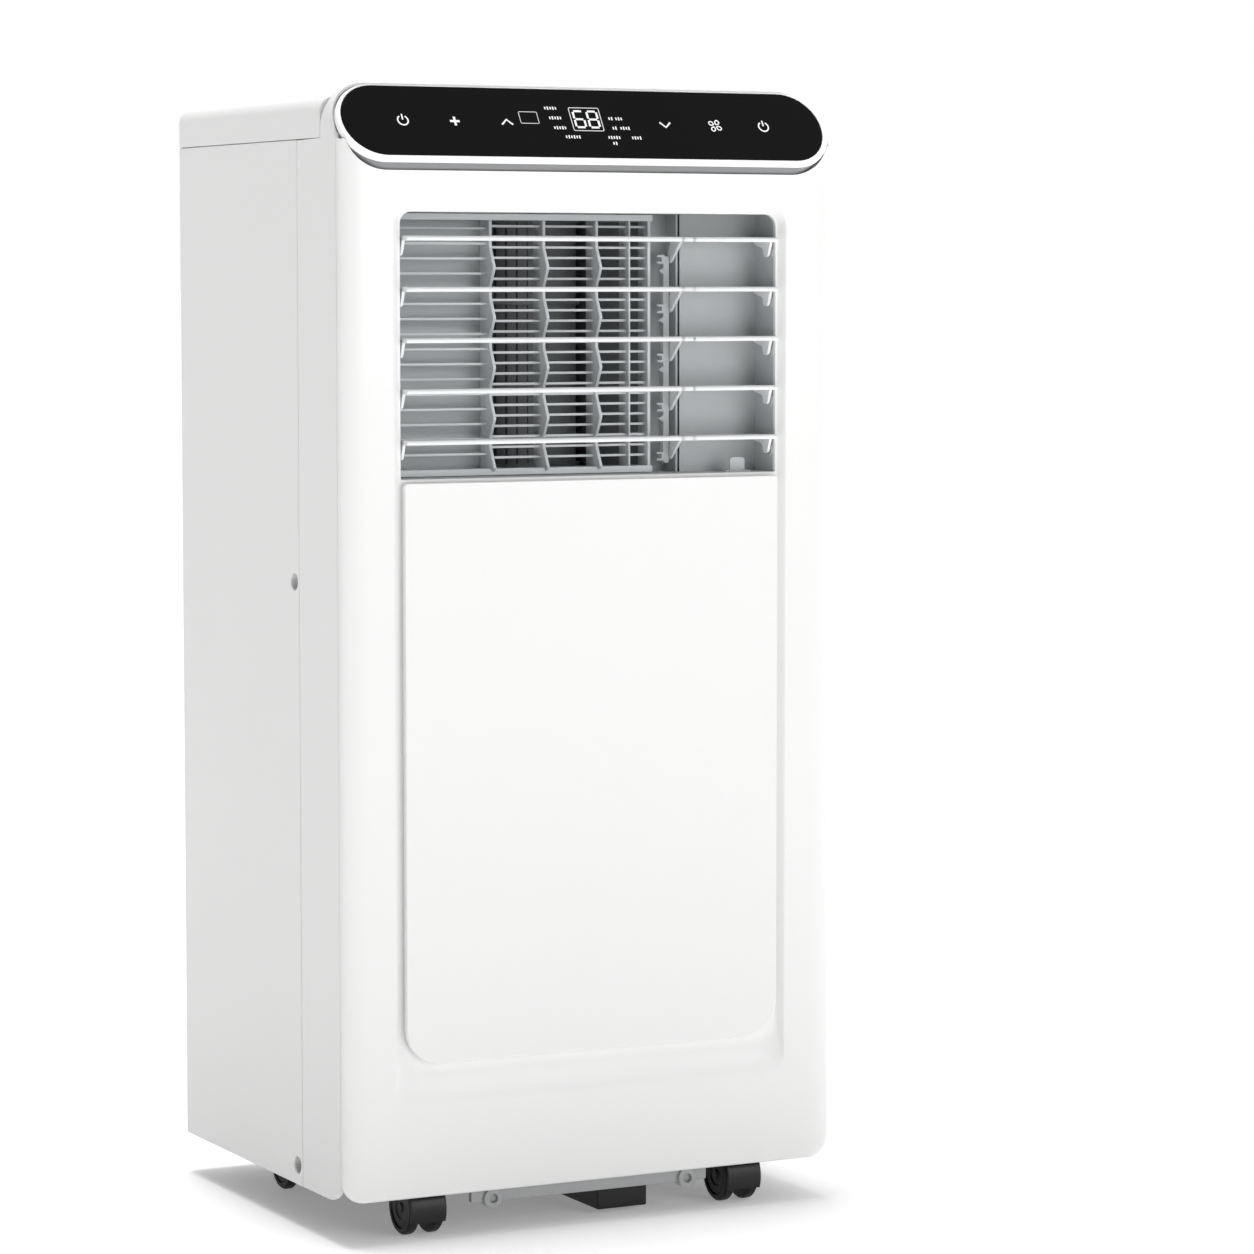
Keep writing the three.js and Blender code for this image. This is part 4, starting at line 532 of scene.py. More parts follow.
CARRIED_OVER = {
    "display_board": "board_green", "louvre_motor": "motor_steel", "air_guide": "duct_shade",
    "blower_motor": "motor_steel", "evaporator_coil": "coil_fins", "condenser_coil": "coil_fins",
    "compressor": "compressor_paint", "accumulator": "compressor_paint", "suction_pipe": "pipe_copper",
    "discharge_pipe": "pipe_copper", "capillary_drier": "pipe_copper", "exhaust_scroll": "duct_shade",
    "exhaust_fan_wheel": "moulded_black", "exhaust_fan_motor": "motor_steel", "main_board": "board_green",
    "run_capacitor": "motor_steel",
}


class PORTABLE_AC_OT_finishes(bpy.types.Operator):
    """Mixes every finish and gives the inner nodes theirs"""

    bl_idname = "portable_ac.finishes"
    bl_label = "Finishes"

    def execute(self, context):
        looks = context.scene.ac_looks
        moulded("moulded_white", looks.white, 0.3, 0.9, 0.02, coat=0.15, drift=0.006)
        # The shell's rougher, coarser grain is its own finish; its darker colour is painted shade.
        moulded("moulded_shell", looks.shell, 0.42, 0.7, 0.05, drift=0.008)
        moulded("panel_white", looks.white, 0.34, 0.8, 0.03, drift=0.006)
        moulded("rim_silver", (0.95, 0.95, 0.95), 0.16, 1.2, 0.01, coat=0.5, drift=0.01)
        # The band's dark grey is painted shade: the white moulding under the rim, darkened where it faces
        # down.
        moulded("band_grey", (0.22, 0.224, 0.228), 0.34, 1.0, 0.02, drift=0.02)
        moulded("glass_black", looks.glass, 0.14, 4.0, 0.002, specular=0.05, spread=0.03, drift=0.1)
        moulded("duct_plastic", looks.duct, 0.45, 0.8, 0.03, drift=0.03)
        moulded("guard_plastic", shade(looks.duct, 1.18), 0.35, 0.8, 0.03, drift=0.02)
        moulded("wheel_plastic", shade(looks.duct, 0.28), 0.4, 0.8, 0.03, drift=0.05)
        # The duct's plastic darkened to 0.6 as painted shade, for the inner parts deep in the cabinet.
        moulded("duct_shade", shade(looks.duct, 0.6), 0.5, 0.8, 0.03, drift=0.04)
        moulded("blade_white", (0.78, 0.79, 0.8), 0.32, 0.9, 0.02, coat=0.1, drift=0.01)
        moulded("moulded_black", looks.black, 0.38, 0.6, 0.04, specular=0.35, drift=0.15)
        moulded("tyre_black", shade(looks.black, 0.7), 0.45, 0.45, 0.05, specular=0.3, drift=0.2)
        moulded("rail_grey", (0.34, 0.345, 0.35), 0.42, 0.8, 0.04, drift=0.03)
        moulded("rubber_grey", (0.05, 0.05, 0.052), 0.75, 0.5, 0.08, specular=0.3, drift=0.15)
        moulded("filter_net", (0.06, 0.07, 0.08), 0.6, 0.4, 0.05, drift=0.1)
        moulded("compressor_paint", (0.014, 0.014, 0.015), 0.3, 2.0, 0.15, coat=0.3, drift=0.2)
        brushed("motor_steel", (0.5, 0.51, 0.52), 0.38, 900.0)
        brushed("screw_steel", (0.55, 0.55, 0.56), 0.3, 2500.0)
        brushed("pipe_copper", (0.6, 0.27, 0.13), 0.32, 700.0)
        finned("coil_fins", (0.62, 0.64, 0.66))
        printed_board("board_green", (0.02, 0.12, 0.05))
        marks, shader = new_finish("mark_white", looks.marks, 0.5)
        grain = texture(marks, "ShaderNodeTexNoise", Scale=1800.0)
        vary(marks.node_tree, grain.outputs["Fac"], shader.inputs["Roughness"], 0.4, 0.6)
        for node, finish in CARRIED_OVER.items():
            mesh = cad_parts[node].data
            mesh.materials.clear()
            mesh.materials.append(bpy.data.materials[finish])
        return {"FINISHED"}


# ---------------------------------------------------------------- front
def fascia_outline(inset, rise):
    """Fascia's outline: down the left, round the foot, up the right, then along under the head."""
    half = HALF - inset
    foot_u, foot_v = max(FASCIA_FOOT - inset, 1), max(FASCIA_FOOT - rise, 1)
    slope = BAND_RADIUS * math.cos(HEAD_TILT)
    start = math.degrees(math.acos(min((half - BAND_HALF) / BAND_RADIUS, 1)))
    start = max(start, math.degrees(math.asin((BAND_FOOT - FASCIA_TOP) / slope)))
    top = BAND_FOOT - slope * math.sin(math.radians(start))
    head = arc(BAND_HALF, BAND_FOOT, BAND_RADIUS, -slope, start, 90, 12)[1:]
    return ([(-half, top)] + arc(-half + foot_u, rise + foot_v, foot_u, foot_v, 180, 270, 8)
            + arc(half - foot_u, rise + foot_v, foot_u, foot_v, 270, 360, 8) + [(half, top)]
            + head + [(-u, v) for u, v in reversed(head)])


def recess_ring(share):
    """Outline and depth of the step round the outlet and the panel, from its lip to its floor."""
    margin, depth, runout = 6.5, 3.0, 26
    half = OUTLET_HALF + margin - (margin - 0.8) * share
    top = OUTLET_HIGH + margin - (margin - 0.8) * share
    low = PANEL.z0 - runout + (runout - 2) * share
    outline = rounded(-half, half, low, top, 6 + 10 * share, 13 - 5.5 * share)
    return outline, depth * share * share * (3 - 2 * share)


class PORTABLE_AC_OT_fascia(bpy.types.Operator):
    """Moulds the fascia with its rounded sides, its fading step and the outlet's opening"""

    bl_idname = "portable_ac.fascia"
    bl_label = "Fascia"

    def execute(self, context):
        bm, place = bmesh.new(), front_plane()
        levels = [(0.4, 0.4, FASCIA_THICK), (0, 0, FASCIA_THICK - 0.4)]
        steps = 9
        for i in range(steps + 1):
            turn = math.pi / 2 * i / steps
            shrink = 1 - math.cos(turn)
            levels.append((FASCIA_EDGE * shrink, FASCIA_RISE * shrink, FASCIA_CREASE * (1 - math.sin(turn))))
        back = current = ring(bm, place, fascia_outline(*levels[0][:2]), levels[0][2])
        for inset, rise, depth in levels[1:]:
            current = grow(bm, current, place, fascia_outline(inset, rise), depth)
        shares = [0, 0.07, 0.16, 0.3, 0.5, 0.7, 0.84, 0.93, 1]
        lip = floor = ring(bm, place, *recess_ring(0))
        for share in shares[1:]:
            floor = grow(bm, floor, place, *recess_ring(share))
        fill(bm, current, lip)
        outlet = rounded(-OUTLET_HALF, OUTLET_HALF, OUTLET_LOW, OUTLET_HIGH, 0.9, OUTLET_RADIUS)
        depth = recess_ring(1)[1]
        opening = mouth = ring(bm, place, offset(outlet, -0.6), depth)
        for inset, extra in quarter(0.6)[1:]:
            opening = grow(bm, opening, place, offset(outlet, -inset), depth + extra)
        opening = grow(bm, opening, place, outlet, FASCIA_THICK)
        fill(bm, floor, mouth)
        fill(bm, back, opening)
        add_piece(bm, "fascia", "cabinet", "moulded_white", ["front_fascia"])
        return {"FINISHED"}


class PORTABLE_AC_OT_panel(bpy.types.Operator):
    """Moulds the raised front panel"""

    bl_idname = "portable_ac.panel"
    bl_label = "Front panel"

    def execute(self, context):
        bm = bmesh.new()
        foot, head = 22, 2
        outline = rounded(PANEL.x0 + GAP, PANEL.x1 - GAP, PANEL.z0, PANEL.z1, foot, head, steps=12)
        plate(bm, front_plane(), outline, PANEL.y0, PANEL.y1, context.scene.ac_sizes.edge / MM + 0.3, steps=4)
        add_piece(bm, "panel", "cabinet", "panel_white", ["front_panel"])
        return {"FINISHED"}


class PORTABLE_AC_OT_front_frame(bpy.types.Operator):
    """Rolls the front frame up from its flat pattern, head housing included"""

    bl_idname = "portable_ac.front_frame"
    bl_label = "Front frame"

    def execute(self, context):
        toe_run, toe_rise = 20, 11
        side = FRAME.z1 - SHOULDER
        bend = SHOULDER * math.pi / 2
        middle = side + bend + HALF - SHOULDER
        lean = math.tan(HEAD_TILT)
        face = HEAD_CENTRE + HEAD_IN * (4.3 - GLASS_THICK / 2)

        def head_edge(distance):
            up = wrapped(distance, 0, side, SHOULDER, HALF)[1]
            return max(FRAME.y0, face.y + (up - face.z) * lean)

        toe = arc(toe_rise, FRAME.y0 + toe_run, toe_rise, toe_run, 180, 270, 8)
        break_up = face.z + (FRAME.y0 - face.y) / lean
        climb = [break_up, side] + [side + bend * i / 10 for i in range(1, 11)]
        front = toe + [(s, head_edge(s)) for s in climb]
        rear = [(side + bend, HEAD_REAR), (SEAM_UP + 0.3, HEAD_REAR), (SEAM_UP - 0.3, SHELL.y0 - GAP),
                (0, SHELL.y0 - GAP)]
        mirror = [(2 * middle - s, y) for s, y in front]
        mirror_rear = [(2 * middle - s, y) for s, y in rear]
        outline = front + mirror[::-1] + mirror_rear[::-1] + rear
        bm = bmesh.new()
        plate(bm, Matrix(), outline, 0, WALL, context.scene.ac_sizes.edge / MM)
        roll_up(bm, side, SHOULDER, HALF, lambda across, along, other: (across, other, along))
        inside = HALF - WALL - 0.1
        back_wall = rounded(-inside, inside, OUTLET_HIGH + 15, FRAME.z1 - WALL - 0.1, 1, SHOULDER - WALL, 10)
        plate(bm, front_plane(), back_wall, HEAD_REAR - WALL, HEAD_REAR - GAP, 0.4)
        for way in (-1, 1):
            x0, x1 = sorted((way * (inside + 0.4), way * (inside - 14)))
            plate(bm, front_plane(), rounded(x0, x1, FASCIA_TOP - 30, FASCIA_TOP + 4, 0.5), 7.6, 9.6, 0.4)
        add_piece(bm, "front_frame_moulding", "cabinet", "moulded_shell", ["front_frame"])
        return {"FINISHED"}


class PORTABLE_AC_OT_rear_shell(bpy.types.Operator):
    """Rolls the rear shell up from its flat pattern, with its openings and screw cups"""

    bl_idname = "portable_ac.rear_shell"
    bl_label = "Rear shell"

    def execute(self, context):
        side = SHELL.y1 - REAR_CORNER - SHELL.y0
        middle = side + REAR_CORNER * math.pi / 2 + HALF - REAR_CORNER
        upper, lower = span("upper_intake_grille"), span("lower_intake_grille")
        holes = [rounded(middle + g.x0 - 0.4, middle + g.x1 + 0.4, g.z0 - 0.4, g.z1 + 0.4, 3)
                 for g in (upper, lower)]
        holes.append(circle(middle, COLLAR.z, COLLAR_TUBE + 0.6, 64))
        for node in ("upper_drain_cap", "lower_drain_cap", "cord_gland"):
            at = span(node)
            holes.append(circle(middle + at.x, at.z, FITTING_HOLE, 28))
        for y, z in SCREW_CUPS:
            for where in (y - SHELL.y0, 2 * middle - (y - SHELL.y0)):
                holes.append(circle(where, z, CUP_RADIUS, 28))
        bm = bmesh.new()
        outline = rounded(0, 2 * middle, SHELL.z0, SHELL.z1, 0.9, steps=2)
        plate(bm, Matrix(), outline, 0, WALL, context.scene.ac_sizes.edge / MM, holes)
        roll_up(bm, side, REAR_CORNER, HALF, lambda across, along, other: (across, along + SHELL.y0, other))
        for way in (-1, 1):
            for y, z in SCREW_CUPS:
                cup = side_plane((way * HALF, y, z), -way)
                turned(bm, cup, [(0, 7), (CUP_RADIUS, 7), (CUP_RADIUS, 1.2), (CUP_RADIUS + 2, 1.2),
                                 (CUP_RADIUS + 2, 9), (0, 9)], 32)
        add_piece(bm, "rear_shell_moulding", "cabinet", "moulded_shell", ["rear_shell"])
        screws = bmesh.new()
        for way in (-1, 1):
            for y, z in SCREW_CUPS:
                head = side_plane((way * HALF, y, z), -way)
                arm, reach = 0.45, 2.4
                cross = [(arm, -reach), (arm, -arm), (reach, -arm), (reach, arm), (arm, arm), (arm, reach),
                         (-arm, reach), (-arm, arm), (-reach, arm), (-reach, -arm), (-arm, -arm),
                         (-arm, -reach)]
                plate(screws, head, circle(0, 0, 3.9, 28), 4.6, 6, 0.6, [cross])
                plate(screws, head, circle(0, 0, 3.2, 20), 5.8, 7.2, 0.1)
        add_piece(screws, "side_screws", "cabinet", "screw_steel")
        return {"FINISHED"}


class PORTABLE_AC_OT_top_cover(bpy.types.Operator):
    """Lofts the hollow top cover, its sides and back rounded over"""

    bl_idname = "portable_ac.top_cover"
    bl_label = "Top cover"

    def execute(self, context):
        radius = context.scene.ac_sizes.cover_edge / MM

        def outline(inset, front):
            return rounded(COVER.x0 + inset, COVER.x1 - inset, COVER.y0 + front, COVER.y1 - inset,
                           0.9, max(REAR_CORNER - inset, 0.5), steps=12)

        inside = outline(WALL, WALL)
        sections = [(inside, COVER.z1 - WALL - radius / 2), (inside, COVER.z0 + 0.4),
                    (outline(2.1, 2.1), COVER.z0), (outline(0.6, 0.4), COVER.z0),
                    (outline(0.15, 0.1), COVER.z0 + 0.2), (outline(0, 0), COVER.z0 + 0.7)]
        for inset, drop in reversed(quarter(radius, 8)):
            sections.append((outline(inset, inset * 0.12), COVER.z1 - drop))
        bm = bmesh.new()
        loft(bm, plan_plane(), sections)
        add_piece(bm, "top_cover_moulding", "cabinet", "moulded_shell", ["top_cover"])
        return {"FINISHED"}


# ---------------------------------------------------------------- control head
class PORTABLE_AC_OT_bezel(bpy.types.Operator):
    """Lofts the bright rim round the glass and the band under it, coloured dark grey as painted shade"""

    bl_idname = "portable_ac.bezel"
    bl_label = "Control bezel"

    def execute(self, context):
        bm = bmesh.new()
        straight = BEZEL.x1 - RIM_RADIUS
        inner = [(GLASS_HALF - 6, GLASS_RADIUS - 5, 0, 10.4), (GLASS_HALF - 6, GLASS_RADIUS - 5, 0, 2.4),
                 (GLASS_HALF + 0.1, GLASS_RADIUS + 0.15, 0, 2.4),
                 (GLASS_HALF + 0.1, GLASS_RADIUS + 0.15, 0, 0.3),
                 (GLASS_HALF + 0.2, GLASS_RADIUS + 0.3, 0, 0.05)]
        outer = [(straight - 0.1, RIM_RADIUS - 0.8, -0.75, 0.0),
                 (straight - 0.1, RIM_RADIUS - 0.3, -1.0, 0.25),
                 (straight, RIM_RADIUS, -1.1, 0.9), (straight, RIM_RADIUS, -1.1, 3.2)]
        band = [(straight - 0.6, RIM_RADIUS, -1.5, 4.0), (BAND_HALF + 0.5, BAND_RADIUS, -1.9, 6.4),
                (BAND_HALF - 0.5, BAND_RADIUS, -1.9, 10.4)]
        current = first = None
        for half, radius, shift, depth in inner + outer:
            outline = stadium(half, radius, shift, 24)
            if first is None:
                current = first = ring(bm, HEAD_PLANE, outline, depth)
            else:
                current = grow(bm, current, HEAD_PLANE, outline, depth)
        bright = set(bm.faces)
        for half, radius, shift, depth in band:
            current = grow(bm, current, HEAD_PLANE, stadium(half, radius, shift, 24), depth)
        bmesh.ops.bridge_loops(bm, edges=edges_of(bm, first) + edges_of(bm, current))
        # Band faces take the dark grey finish, which is painted shade under the rim; rim faces keep the
        # bright finish.
        for face in bm.faces:
            face.material_index = 0 if face in bright else 1
        add_piece(bm, "control_bezel_rim", "cabinet", ["rim_silver", "band_grey"],
                  ["control_bezel"])
        glass = bmesh.new()
        plate(glass, HEAD_PLANE, stadium(GLASS_HALF, GLASS_RADIUS, 0, 24), 0, GLASS_THICK, 0.35)
        add_piece(glass, "control_glass_plate", "cabinet", "glass_black", ["control_glass"])
        return {"FINISHED"}


def shifted(points, u, v, turn=0):
    c, s = math.cos(math.radians(turn)), math.sin(math.radians(turn))
    return [(u + c * p[0] - s * p[1], v + s * p[0] + c * p[1]) for p in points]


DIGIT_SEGMENTS = {6: "afgedc", 8: "abcdefg"}
POWER_AT = (-121.2, 119.7)
PLUS_AT = -87.7
ARROWS_AT = (-53.7, 52.2)
FLOWER_AT = 86.2
BAR_STEP = 1.75
STATUS_BARS = [(-22.5, 10.6, 5), (-21, 3.6, 5), (-19.5, -3.4, 5), (-12.5, -9.8, 6), (16, 3.8, 2),
               (21.5, 3.8, 3), (17, -3, 2), (24, -3, 4), (15, -9.8, 5), (30, -9.8, 4), (14.5, -14, 2)]


def seven_segments(bm, number, u, v, width, height, line):
    """A digit of seven bars."""
    w, h = width / 2, height / 2
    bars = {"a": [(-w, h), (w, h)], "b": [(w, h), (w, 0)], "c": [(w, 0), (w, -h)], "d": [(-w, -h), (w, -h)],
            "e": [(-w, -h), (-w, 0)], "f": [(-w, 0), (-w, h)], "g": [(-w, 0), (w, 0)]}
    for key in DIGIT_SEGMENTS[number]:
        start, end = [Vector(p) for p in bars[key]]
        trim = (end - start).normalized() * line * 0.45
        stroke(bm, HEAD_PLANE, shifted([start + trim, end - trim], u, v), line)


class PORTABLE_AC_OT_marks(bpy.types.Operator):
    """Draws the symbols, the two digits and the small status bars on the glass"""

    bl_idname = "portable_ac.marks"
    bl_label = "Glass marks"

    def execute(self, context):
        line = context.scene.ac_sizes.mark_line / MM
        bm = bmesh.new()

        def mark(path, u=0, width=1, closed=False, turn=0):
            stroke(bm, HEAD_PLANE, shifted(path, u, 0, turn), width * line, closed)

        for u in POWER_AT:
            mark(arc(0, 0, 3.3, 3.3, 122, 418, 22), u)
            mark([(0, 0.4), (0, 4.4)], u)
        for path in ([(-3.1, 0), (3.1, 0)], [(0, -3.1), (0, 3.1)]):
            mark(path, PLUS_AT, 1.7)
        for u, way in zip(ARROWS_AT, (1, -1)):
            mark([(-3.6, -1.8 * way), (0, 1.8 * way), (3.6, -1.8 * way)], u, 1.25)
        petal = eased([(0.7, 0.5), (2.8, 0.2), (4.0, 1.4), (3.4, 3.1), (1.6, 3.0)], 1.1)
        for turn in range(0, 360, 90):
            mark(petal, FLOWER_AT, 0.85, True, turn + 20)
        mark(rounded(-44.5, -32.5, -0.6, 7.6, 0.7, steps=3), 0, 0.35, True)
        mark(rounded(-10.5, 9.5, -5.2, 11.2, 1, steps=3), 0, 0.45, True)
        for number, u in ((6, -5), (8, 4.2)):
            seven_segments(bm, number, u, 3, 6.4, 11.5, 1.5 * line)
        for u, v, count in STATUS_BARS:
            for i in range(count):
                tall = 1.15 if i % 2 else 0.9
                mark([(0, v - tall), (0, v + tall)], u + BAR_STEP * (i - (count - 1) / 2), 0.95)
        add_piece(bm, "glass_marks", "cabinet", "mark_white", sharp=60)
        return {"FINISHED"}


# ---------------------------------------------------------------- outlet
class PORTABLE_AC_OT_duct(bpy.types.Operator):
    """Builds the outlet's duct with its blank wall, link channel and bearings"""

    bl_idname = "portable_ac.duct"
    bl_label = "Outlet duct"

    def execute(self, context):
        bm, plan = bmesh.new(), plan_plane()
        right, back = DUCT.x1, DUCT.y1
        blank, channel = 28.5, 70
        for z0, z1 in ((DUCT.z0, OUTLET_LOW), (OUTLET_HIGH, DUCT.z1)):
            plate(bm, plan, rounded(DUCT.x0, right, DUCT.y0, back, 0.8), z0, z1, 0.3)
        walls = [(DUCT.x0, -OUTLET_HALF - GAP, DUCT.y0, back), (OUTLET_HALF, right, DUCT.y0, back),
                 (-OUTLET_HALF - GAP, FIRST_RIB + 1, back - DUCT_WALL, back),
                 (channel + 1, OUTLET_HALF + GAP, blank, blank + DUCT_WALL),
                 (channel, channel + DUCT_WALL, blank, back), (GUARD.x1, channel + 1, back - DUCT_WALL, back)]
        for x0, x1, y0, y1 in walls:
            plate(bm, plan, rounded(x0, x1, y0, y1, 0.4, steps=2), OUTLET_LOW - 0.1, OUTLET_HIGH + 0.1, 0.05)
        for level in BLADE_LEVELS:
            for way in (-1, 1):
                boss = side_plane((way * OUTLET_HALF, PIVOT[0], level + PIVOT[1]), way)
                turned(bm, boss, [(2.4, -0.9), (4.2, -0.9), (4.2, 1), (2.4, 1)], 24, True, 0.3)
        tab = rounded(99, 109.5, OUTLET_LOW - 0.5, OUTLET_LOW + 9, 0.3, 2.6)
        plate(bm, front_plane(), tab, 12, 13.8, 0.4)
        foot = rounded(95, 113, 10, 15.5, 1)
        plate(bm, plan, foot, OUTLET_LOW - 0.5, OUTLET_LOW + 1, 0.4)
        add_piece(bm, "outlet_duct_moulding", "cabinet", "duct_plastic", ["outlet_duct"])
        return {"FINISHED"}


RIB_STEP = 35.6
FIRST_RIB = GUARD.x1 - 2 - 3 * RIB_STEP
BLADE_LEVELS = [BLADE.z1 - 1.1 - i * LOUVRE_PITCH for i in range(LOUVRES)]


class PORTABLE_AC_OT_guard(bpy.types.Operator):
    """Builds the guard: ribs with chevron fronts, fine bars and two rails"""

    bl_idname = "portable_ac.guard"
    bl_label = "Guard grille"

    def execute(self, context):
        bm, plan = bmesh.new(), plan_plane()
        step = context.scene.ac_sizes.guard_step / MM
        proud, deep, rear = 23, 29, GUARD.y1
        low, high = GUARD.z0, GUARD.z1
        zigzag = []
        for level in BLADE_LEVELS:
            zigzag += [(deep, level + 2), (deep, level - 5), (proud, level - 17)]
        zigzag = [(y, z) for y, z in zigzag if low + 2 < z < high - 2]
        chevron = [(rear, low), (rear, high), (deep, high)] + eased(zigzag, 1.2, closed=False) + [(deep, low)]
        for i in range(3):
            x = FIRST_RIB + i * RIB_STEP
            plate(bm, side_plane(), chevron, x, x + 2, 0.35, steps=2)
        edge_rib = rounded(deep, rear, low, high, 0.5, steps=2)
        for x, thick in ((GUARD.x0, 1.6), (GUARD.x1 - 15, 1.2), (GUARD.x1 - 2, 2)):
            plate(bm, side_plane(), edge_rib, x, x + thick, 0.3, steps=2)
        for z0, z1 in ((low, low + 4), (high - 4, high)):
            plate(bm, plan, rounded(GUARD.x0, GUARD.x1, 26, rear - 1, 0.5, steps=2), z0, z1, 0.4)
        split = FIRST_RIB + 1
        for x0, x1, pitch in ((GUARD.x0 + 0.5, split, 9), (split, GUARD.x1 - 0.5, step)):
            count = int((high - low - 8) / pitch)
            for i in range(count):
                z = high - 5 - (i + 0.5) * pitch
                plate(bm, plan, rounded(x0, x1, 32.5, 36, 0.4, steps=2), z, z + 1.5, 0.35, steps=2)
        add_piece(bm, "guard_grille_moulding", "cabinet", "guard_plastic", ["guard_grille"])
        return {"FINISHED"}


ARROW_DROP = 7
ARROW_HALF = 2.4


def blade_section(rear):
    """Blade with a bead along its front edge."""
    nose = 1.5
    return (arc(BLADE.y0 + nose, 0, nose, nose, 90, 270, 8) + [(2.4, -nose), (3.6, -1), (rear - 0.5, -1)]
            + [(rear, -0.5), (rear, 0.5), (rear - 0.5, 1), (3.6, 1), (2.4, nose)])


class PORTABLE_AC_OT_louvres(bpy.types.Operator):
    """Builds the five louvres with their end arms, pivots and cranks, and the rod that links them"""

    bl_idname = "portable_ac.louvres"
    bl_label = "Louvres and link rod"

    def execute(self, context):
        half = OUTLET_HALF - 1.5
        rear = 26
        notch = (ROD.x0 - 0.9, ROD.x1 + 0.4)
        arm = eased([(3, 0.3), (7, -10.4), (11.8, -10.4), (13, -5), (24, -3), (25, 0.3)], 1.8)
        crank = eased([(12, 0.3), (27.4, -13.6), (31, -14.4), (32.2, -11), (26, 0.3)], 1.1)
        for number, level in enumerate(BLADE_LEVELS, 1):
            bm, place = bmesh.new(), side_plane((0, 0, level))
            for x0, x1, back in ((-half, notch[0], rear), (notch[1], half, rear),
                                 (notch[0] - 2, notch[1] + 2, 20.5)):
                plate(bm, place, blade_section(back), x0, x1, 0.25 if back == rear else 0.02, steps=2)
            for x in (-half, half - 2):
                plate(bm, place, arm, x, x + 2, 0.4)
            plate(bm, place, crank, ROD.x1 + 0.5, ROD.x1 + 2.5, 0.4)
            for way in (-1, 1):
                pin = side_plane((way * (half - 1), PIVOT[0], level + PIVOT[1]), way)
                turned(bm, pin, [(0, 0), (1.9, 0), (1.9, 5.4), (0, 5.4)], 20)
            pin = side_plane((ROD.x1 + 1, CRANK_PIN[0], level + CRANK_PIN[1]))
            turned(bm, pin, [(0, 2.1), (2.1, 2.1), (2.1, 0.6), (1.5, 0.4), (1.5, -5.8), (0, -5.8)], 20)
            add_piece(bm, f"louvre_{number}_blade", f"louvre_{number}", "blade_white",
                      [f"louvre_{number}"])
        rod = bmesh.new()
        hook = eased([(-4.6, -2.6), (0.5, -2.6), (0.5, 2.8), (-4.6, 2.8), (-4.6, 1.4), (-1.6, 1.4),
                      (-1.6, -1.2), (-4.6, -1.2)], 0.5)
        arrow = eased([(-3.4, 0), (0.4, -ARROW_HALF), (0.4, ARROW_HALF)], 0.5)
        plate(rod, front_plane(), rounded(ROD.x0, ROD.x1, ROD.z0, ROD.z1, 0.8), ROD.y0, ROD.y1, 0.4)
        for level in BLADE_LEVELS:
            pin = side_plane((ROD.x0, CRANK_PIN[0], level + CRANK_PIN[1]))
            turned(rod, pin, [(1.9, -1.4), (3.1, -1.4), (3.1, 0.4), (1.9, 0.4)], 20, True, 0.3)
            plate(rod, front_plane((ROD.x0, 0, level + CRANK_PIN[1])), hook, ROD.y0 - 1.2, ROD.y0 + 0.6, 0.3)
            arrow_level = level + CRANK_PIN[1] - ARROW_DROP
            if arrow_level - ARROW_HALF > ROD.z0:
                plate(rod, front_plane((ROD.x0, 0, arrow_level)), arrow, ROD.y0, ROD.y0 + 1.6, 0.3)
        add_piece(rod, "link_rod_moulding", "link_rod", "duct_plastic", ["link_rod"])
        return {"FINISHED"}


class PORTABLE_AC_OT_blower(bpy.types.Operator):
    """Builds the blower wheel with its curved blades"""

    bl_idname = "portable_ac.blower"
    bl_label = "Blower wheel"

    def execute(self, context):
        radius, chord, thick = (WHEEL.x1 - WHEEL.x0) / 2, 12, 1.0
        place = plan_plane((WHEEL.x, WHEEL.y, 0))
        bm = bmesh.new()
        turned(bm, place, [(4.4, WHEEL.z0), (radius, WHEEL.z0), (radius, WHEEL.z0 + 2), (12, WHEEL.z0 + 2),
                           (12, WHEEL.z0 + 20), (4.4, WHEEL.z0 + 20)], 64, True)
        for share in (0.34, 0.67, 1):
            top = WHEEL.z0 + (WHEEL.z1 - WHEEL.z0) * share
            turned(bm, place, [(radius - chord, top - 2), (radius, top - 2), (radius, top),
                               (radius - chord, top)], 64, True)
        count = context.scene.ac_sizes.blower_blades
        outer = arc(0, radius - chord / 2 - 0.5, chord / 2, 4.2, 90, -90, 4)
        inner = [(u - thick, v) for u, v in reversed(outer)]
        for i in range(count):
            blade = shifted([(u - 2, v) for u, v in outer + inner], 0, 0, 360 * i / count)
            plate(bm, place, blade[::-1], WHEEL.z0 + 1, WHEEL.z1 - 1, 0.1, steps=1)
        add_piece(bm, "blower_wheel_moulding", "blower_wheel", "wheel_plastic",
                  ["blower_wheel"])
        return {"FINISHED"}


